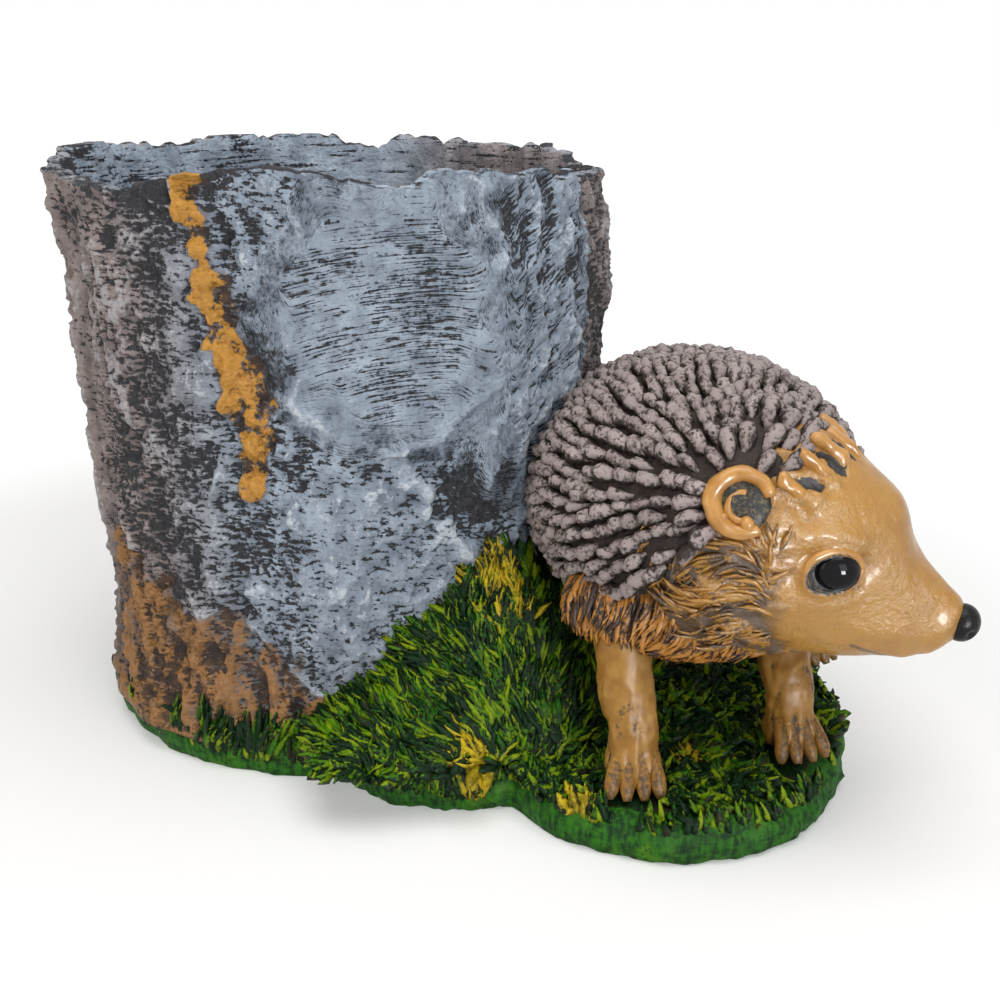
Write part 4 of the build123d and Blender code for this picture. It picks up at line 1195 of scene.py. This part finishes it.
# One of four toes, from the instep down to the turf; side is its place across, from -1.5 to 1.5
def buildToe(ground, aside, toes, side, seed):
    start = ground + aside * side * 3.6 + toes * 5.0 + (0, 0, 15 - abs(side) * 1.5)
    middle = ground + aside * side * 4.9 + toes * 10.5 + (0, 0, 7.5)
    end = ground + aside * side * 5.6 + toes * (15.5 - abs(side) * 1.4) + (0, 0, 1.6)
    line = pathThrough([start - toes * 4 + (0, 0, 2), start, middle, end], leg["toeRings"])
    size = curve(np.linspace(0, 1, leg["toeRings"]), leg["toePlaces"], leg["toeRadii"])
    toe = tube(line, size, 16, up=-toes, fur=1.0, groove=0.0)
    toe["marks"]["crest"] = 0.30 + 0.75 * toe["marks"]["crest"]
    return roughened(toe, 0.3, 4, seed)


# A leg and its four toes; at a turn of 0 the toes point to the front
def buildLeg(paw, top, turn, seed):
    turn = np.radians(turn)
    aside, toes = np.array([np.cos(turn), np.sin(turn), 0]), np.array([np.sin(turn), -np.cos(turn), 0])
    ground, high = np.array([*paw, leg["ground"]]), np.array([*top, leg["top"]])
    feet = [buildToe(ground, aside, toes, i - 1.5, seed + 10 + i) for i in range(4)]
    return [buildShank(ground, high, aside, toes, seed)] + feet


# Ochre, brown in the grooves between the hairs and toes, and dark where the paw meets the turf
def legLook(s):
    fine = s.cloud(1.2, 5, 0.65)
    mid = s.cloud(6.0)
    high = s.node("SeparateXYZ", None, {0: s.object()}, 2)
    dark = (1 - s.mark("crest")) * 0.8 + s.mark("groove") * 0.6 + (fine - 0.5) * 1.2 + (mid - 0.5) * 0.4
    dark = (dark + high.step(0.046, 0.026) * 0.08).step(0.42, 0.80)
    ochre = mid.step(0.3, 0.7).mix((0.27, 0.125, 0.020), (0.39, 0.205, 0.042))
    brown = fine.step(0.3, 0.7).mix((0.022, 0.015, 0.011), (0.08, 0.048, 0.028))
    ground = high.step(0.021, 0.017) * 0.6
    return {"Base Color": dark.most(ground).mix(ochre, brown), "Roughness": 0.44 + dark * 0.15}


legPaint = paint("legs", legLook, Specular_IOR_Level=0.25)
for i, (node, paw, top, turn) in enumerate(legs):
    addPiece(f"{node}_skin", buildLeg(paw, top, turn, 120 + 20 * i), legPaint, "fur", node)


# Turf

turf = {
    "thick": 16.0, "middle": (65.0, -35.0), "rows": 74, "columns": 460,
    "pads": (  # middle, half sizes; the last carries the hind left paw
        (0.0, 0.0, 94.0, 77.0), (51.5, -50.0, 56.0, 50.0), (123.4, -50.0, 69.5, 79.0),
        (173.0, -14.0, 22.0, 21.0)),
    "side": (  # height, how far in from the edge
        (0, 2.2), (0.8, 1.2), (2.5, 0.6), (4.5, 0.1), (6.5, 0.0), (8.5, 0.3), (10.5, 1.1), (12.5, 2.4),
        (14.2, 4.2), (15.4, 6.0)),
    "bankReach": 46, "bankDegrees": (250, 264, 272, 285, 297, 308, 316, 328, 345, 362),
    "bankHeights": (0, 2, 10, 24, 42, 58, 61, 50, 24, 0)}


# How far the turf's edge lies from its middle in each direction: the farthest way out of the pads,
# rounded between them, plus a wandering of the edge
def turfReach(turn):
    middle = np.array([*turf["middle"], 0])
    d = np.stack([np.cos(turn), np.sin(turn), 0 * turn], -1)
    ways = [exitFrom(d, (x, y, 0) - middle, np.eye(3), (wide, deep, 1)) for x, y, wide, deep in turf["pads"]]
    far = ways[0]
    for way in ways[1:]:
        far = smoothMost(far, way, 1.5)
    edge = middle + far[..., None] * d
    return far + 1.6 * rough(edge, 24, 130) + 0.7 * rough(edge, 6, 136, 2) - 1.6


# Height of the turf's top at places, and their distance from the stump: flat, plus a bank that leans on
# the stump, its height read from a table round the stump and falling off with distance from it
def turfTop(x, y):
    lean, halfWidth, halfDepth = stumpSection(40.0)
    q = np.hypot((x - lean) / halfWidth, y / halfDepth)
    far = (q - 1) * np.hypot(x, y) / np.maximum(q, 0.2)
    degrees = np.degrees(np.arctan2(y / halfDepth, (x - lean) / halfWidth)) % 360
    degrees = np.where(degrees < 20, degrees + 360, degrees)
    bank = np.interp(degrees, turf["bankDegrees"], turf["bankHeights"])
    fall = np.clip(1 - far / turf["bankReach"], 0, 1) ** 1.35
    return turf["thick"] + bank * fall * (far > -3) - 3.5 * ease(-far, 2, 6), far


# The turf: rings below, up its bumpy side, then over the top to the middle
def buildTurf():
    turn = np.arange(turf["columns"]) / turf["columns"] * 2 * np.pi
    spoke = np.stack([np.cos(turn), np.sin(turn)], -1)
    reach = turfReach(turn)

    def ring(share, inset):
        return turf["middle"] + (reach * share - inset)[:, None] * spoke

    rows = [np.column_stack([ring(share, 2.0), 0 * turn]) for share in (0.3, 0.65, 0.9)]
    for z, inset in turf["side"]:
        place = np.column_stack([ring(1.0, inset), z + 0 * turn])
        slanted = place + place[:, [2, 2, 2]] * (1, 0, 0)
        bumps = 0.9 * rough(place, (9, 9, 5), 131) + 0.6 * rough(slanted, (2.4, 2.4, 7), 134, 2)
        place[:, :2] += bumps[:, None] * spoke
        rows.append(place)
    below = len(rows)
    for share in np.linspace(0.95, 0.0, turf["rows"])[:-1]:
        flat = ring(share, 5 * share)
        place = np.column_stack([flat, turfTop(flat[:, 0], flat[:, 1])[0]])
        rows.append(place + np.array([0, 0, 1]) * (1.1 * rough(place, 5, 132))[:, None])
    rows = np.stack(rows)
    rows[:, :, 2] = np.maximum(rows[:, :, 2], 0)
    top = np.broadcast_to(np.arange(len(rows))[:, None] >= below, rows.shape[:2])
    return gridPart(rows, {"top": top, "crest": 0.3 + 0.3 * rough(rows, 4, 133, 2)})


grass = {
    "count": 7600, "edge": 5800, "length": 9.0, "width": 2.9, "height": 1.8, "fan": (96.0, -125.0),
    "profile": (0.6, 1.0, 0.95, 0.65, 0.15), "lift": (0, 0.2, 0.5, 0.9, 1.2),
    "edgeLift": (-0.3, 0.1, 0.3, 0.3, 0.0), "edgeLength": (8, 17), "edgeWidth": (2.0, 3.6),
    "edgeHeight": 1.5, "bankTop": 19,
    "yellow": (  # x, y, half width
        (64, -60, 9), (88.6, -117, 6.5), (129.5, -90, 4.5), (2, -72, 6), (57, -101, 6.5))}


# Which places on the ground are clear of the four paws
def clearOfPaws(x, y):
    return np.min([
        np.hypot(x - paw[0] - 9 * np.sin(np.radians(turn)), y - paw[1] + 9 * np.cos(np.radians(turn)))
        for _, paw, _, turn in legs], 0) > 12.5


# How yellow the blades at some places are: the nearest spot's hill
def yellowAt(roots):
    spots = grass["yellow"]
    return np.max([hill(np.hypot(roots[:, 0] - x, roots[:, 1] - y), width) for x, y, width in spots], 0)


# Blades on the turf's top and the bank, in three pieces from left to right, then those on its edge
def buildGrass():
    rng = np.random.default_rng(41)
    count = grass["count"]
    turn = rng.uniform(0, 2 * np.pi, count * 2)
    share = np.sqrt(rng.uniform(0, 1, count * 2))
    reach = turfReach(turn)
    flat = turf["middle"] + (reach * share - 3)[:, None] * np.stack([np.cos(turn), np.sin(turn)], -1)
    # More blades where the bank is steep
    flat = np.vstack([flat, np.column_stack([rng.uniform(5, 112, count), rng.uniform(-112, -30, count)])])
    edge = np.concatenate([reach * (1 - share) + 3, np.full(count, 30.0)])
    top, far = turfTop(flat[:, 0], flat[:, 1])
    keep = (far > -1.0) & (flat[:, 0] > boxLow[0] + 3) & clearOfPaws(flat[:, 0], flat[:, 1])
    keep[count * 2:] &= top[count * 2:] > grass["bankTop"]
    bare = 5 + 3.5 * (flat[:, 0] > 120) * (flat[:, 1] < -80) + rng.uniform(-2, 2, len(edge))
    keep &= (top > grass["bankTop"]) | (edge > bare)
    flat, top = flat[keep], top[keep]
    slopes = [
        np.clip((turfTop(*(flat + step).T)[0] - turfTop(*(flat - step).T)[0]) / 2, -4, 4)
        for step in ((1.0, 0), (0, 1.0))]
    out = unit(np.column_stack([-slopes[0], -slopes[1], np.ones(len(flat))]))
    # Blades fan out from a place in front of the bank; on the level they lie in tufts that point anyhow
    tuft = 2.6 * np.pi * grain(np.column_stack([flat, 0 * top]), 13, 140) + rng.normal(0, 0.4, len(flat))
    anyhow = np.stack([np.cos(tuft), np.sin(tuft)], -1)
    bank = ease(top, 17.5, 24)[:, None]
    level = unit(flat - grass["fan"]) * (0.5 + bank) + anyhow * (1 - bank) * 1.1
    flow = np.column_stack([level, 0.15 + 1.2 * bank])
    ahead = unit(flow - out * (flow * out).sum(-1, keepdims=True))
    ground = np.column_stack([flat, top])
    sway = 1.0 * grain(ground, 8, 141) + rng.normal(0, 0.30, len(flat))
    ahead = unit(ahead + np.cross(out, ahead) * sway[:, None])
    ahead = unit(ahead + out * rng.uniform(0.0, 0.34, len(flat))[:, None])
    size = rng.uniform(0.6, 1.35, len(flat))
    roots = ground + out * (1.8 * grain(ground, 8, 143) - 0.8)[:, None]
    yellow = yellowAt(roots)
    length = grass["length"] * size * (0.75 + 0.6 * bank[:, 0])
    width = grass["width"] * rng.uniform(0.7, 1.3, len(flat))
    tone = rng.uniform(0, 1, len(flat))
    out = unit(out - ahead * (ahead * out).sum(-1, keepdims=True))
    pieces = []
    for i in np.array_split(np.argsort(roots[:, 0]), 3):
        blades = strands(
            roots[i], ahead[i], out[i], length[i], width[i], grass["height"] * size[i], grass["profile"],
            grass["lift"], sides=4, tone=tone[i], yellow=yellow[i, None], top=np.ones((len(i), 1)))
        pieces.append(roughened(blades, 1.3, 2.8, 144))
    return pieces + [edgeBlades(rng)]


# Blades that stand on the turf's side and lie up against the stump's foot; the front right stays bare
def edgeBlades(rng):
    turn = rng.uniform(0, 2 * np.pi, grass["edge"])
    way = np.stack([np.cos(turn), np.sin(turn), 0 * turn], -1)
    z = rng.uniform(5, 15.5, len(turn))
    inset = curve(z, (5, 8, 11, 13, 16), (0.3, 0.5, 1.5, 3.2, 7))
    roots = np.array([*turf["middle"], 0]) + way * (turfReach(turn) - inset - 0.4)[:, None]
    roots[:, 2] = z
    bare = (roots[:, 0] > 62) & (roots[:, 1] < 5)
    keep = ~bare | ((z > 10.5) & (rng.uniform(size=len(z)) < 0.75 - 0.5 * (roots[:, 0] > 110)))
    keep &= clearOfPaws(roots[:, 0], roots[:, 1])
    roots, way, bare = roots[keep], way[keep], bare[keep]
    ahead = unit(np.array([0, 0, 1.0]) - way * rng.uniform(0.0, 0.55, len(roots))[:, None])
    sway = 0.5 * grain(roots, 10, 142) + rng.normal(0, 0.25, len(roots))
    ahead = unit(ahead + np.cross(way, ahead) * sway[:, None])
    length = rng.uniform(*grass["edgeLength"], len(roots)) * (1 - 0.5 * bare)
    width = rng.uniform(*grass["edgeWidth"], len(roots))
    return strands(
        roots, ahead, way, length, width, grass["edgeHeight"], grass["profile"], grass["edgeLift"], sides=4,
        tone=rng.uniform(0, 1, len(roots)), yellow=yellowAt(roots)[:, None], top=np.ones((len(roots), 1)))


# Dark green with brighter brushed tops, yellow dabs, brown in the hollows and a wet sheen
def grassLook(s):
    fine = s.cloud(1.3, 5, 0.65)
    mid = s.cloud(9.0)
    tone, top = s.mark("tone"), s.mark("top")
    light = s.mark("crest") * 0.7 + s.mark("reach") * 0.2 + (fine - 0.5) * 1.5
    light = (light + (mid - 0.5) * 2.0 + (tone - 0.5) * 0.7).step(0.58, 1.00)
    dark = fine.step(0.3, 0.7).mix((0.004, 0.009, 0.003), (0.005, 0.034, 0.008))
    green = s.cloud(30.0, 2).step(0.35, 0.65).mix((0.018, 0.115, 0.003), (0.068, 0.200, 0.003))
    green = (tone + (fine - 0.5) * 0.8).step(0.55, 1.05).mix(green, (0.23, 0.32, 0.005))
    colour = (mid.step(0.52, 0.62) * (1 - light) * 0.8).mix(light.mix(dark, green), (0.030, 0.020, 0.012))
    dab = ((s.mark("yellow") - 0.42) * 2 + (fine - 0.5) * 1.6 + (tone - 0.5) * 1.2).step(0.1, 0.6)
    colour = (dab * (light * 0.5 + 0.5)).mix(colour, fine.mix((0.50, 0.30, 0.008), (0.62, 0.50, 0.020)))
    strokes = (s.cloud((1.6, 1.6, 7), 4) * 0.6 + s.cloud((6, 6, 2)) * 0.4).step(0.38, 0.62)
    brushed = strokes.mix((0.004, 0.030, 0.005), (0.028, 0.150, 0.008))
    brushed = (s.cloud(12.0).step(0.5, 0.7) * fine.step(0.3, 0.6) * 0.7).mix(brushed, (0.085, 0.25, 0.010))
    return {
        "Base Color": top.step(0.3, 0.7).mix(brushed, colour), "Roughness": 0.42 + fine * 0.2 - top * 0.08,
        "Normal": fine.bump(0.7, 0.0008)}


grassPaint = paint("grass", grassLook, Specular_IOR_Level=0.10)
addPiece("turf", [buildTurf()], grassPaint, "grass", "turf_base")
for place, blades in zip(("left", "middle", "right", "edge"), buildGrass()):
    addPiece(f"grass_{place}", [blades], grassPaint, "grass")


# The wires inside keep their shape, with a drawn steel finish
def wireLook(s):
    drawn = s.cloud((0.4, 0.4, 8))
    return {"Base Color": drawn.mix((0.42, 0.42, 0.43), (0.55, 0.55, 0.56)), "Roughness": drawn * 0.2 + 0.25}


wirePaint = paint("wire", wireLook, Metallic=1.0)
for wire in ("leg_wires", "neck_wire"):
    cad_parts[wire].data.materials.clear()
    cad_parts[wire].data.materials.append(wirePaint)


# Camera, light and floor, in metres

studio = {
    "camera": (0.0642, -0.449, 0.246), "lookDown": 20.4, "lens": 43.2, "sensor": 36.0, "clip": (0.01, 20.0),
    "floor": 8, "floorShadow": (0.20, 0.42), "floorGlow": 0.22, "backdrop": 0.32,
    "lamps": (  # name, place, target, size, power, colour
        ("above", (0.10, -0.25, 1.15), (0.05, 0, 0.08), 0.9, 9.8, (1.0, 0.99, 0.97)),
        ("front", (0.55, -1.15, 0.60), (0.08, 0, 0.08), 0.6, 4.5, (0.98, 0.99, 1.0)),
        ("spark", (0.47, -1.08, 0.12), (0.16, -0.12, 0.10), 0.28, 18.0, (1.0, 1.0, 1.0)),
        ("left", (-0.95, -0.55, 0.45), (0.0, 0, 0.08), 0.7, 3.5, (1.0, 0.93, 0.86)))}

camera = bpy.data.objects.new("camera", bpy.data.cameras.new("camera"))
bpy.context.scene.collection.objects.link(camera)
bpy.context.scene.camera = camera
camera.location = studio["camera"]
camera.rotation_euler = (np.radians(90 - studio["lookDown"]), 0, 0)
camera.data.lens, camera.data.sensor_width = studio["lens"], studio["sensor"]
camera.data.clip_start, camera.data.clip_end = studio["clip"]


# A square lamp that faces its target
def addLamp(name, place, target, size, power, colour):
    light = bpy.data.lights.new(name, "AREA")
    light.size, light.energy, light.color = size, power, colour
    lamp = bpy.data.objects.new(name, light)
    lamp.location = place
    lamp.rotation_euler = (Vector(target) - Vector(place)).to_track_quat("-Z", "Y").to_euler()
    lamp.visible_diffuse = name != "spark"  # the spark shows only as a glint on glass and gloss
    bpy.context.scene.collection.objects.link(lamp)


for lamp in studio["lamps"]:
    addLamp(*lamp)

bpy.ops.mesh.primitive_plane_add(size=studio["floor"])
floor = bpy.context.object
floor.name = "floor"


# Which rays see the background: straight to the camera, or by way of gloss or glass
def seen(s):
    rays = [s.node("LightPath", output=i) for i in (0, 3, 6)]
    return (rays[0] + rays[1] + rays[2]).least(1.0)


# A white floor that keeps the shadow near the part; farther away it glows white to the camera
def floorLook(s):
    away = s.node("VectorMath", {"operation": "LENGTH"}, {0: s.object()}, 1)
    away = away.step(*studio["floorShadow"]).most(studio["floorGlow"]) * seen(s)
    white = s.cloud(400).mix((0.90, 0.90, 0.90), (0.93, 0.93, 0.93))
    glow = away.mix((0.0, 0.0, 0.0), (1.0, 1.0, 1.0))
    return {"Base Color": away.mix(white, (0.0, 0.0, 0.0)), "Emission Color": glow}


floor.data.materials.append(paint("floor", floorLook, Roughness=0.9, Emission_Strength=1.0))

# The background is dimmer as a light than where it is seen
world = bpy.context.scene.world or bpy.data.worlds.new("world")
bpy.context.scene.world = world
world.use_nodes = True
world.node_tree.nodes.clear()
start = Signal(world.node_tree)
strength = seen(start) * (1 - studio["backdrop"]) + studio["backdrop"]
backdrop = start.node("Background", None, {0: (1, 1, 1, 1), 1: strength})
world.node_tree.links.new(backdrop.socket, world.node_tree.nodes.new("ShaderNodeOutputWorld").inputs[0])
bpy.context.scene.view_settings.view_transform = "Standard"
print("camera, light and floor set")
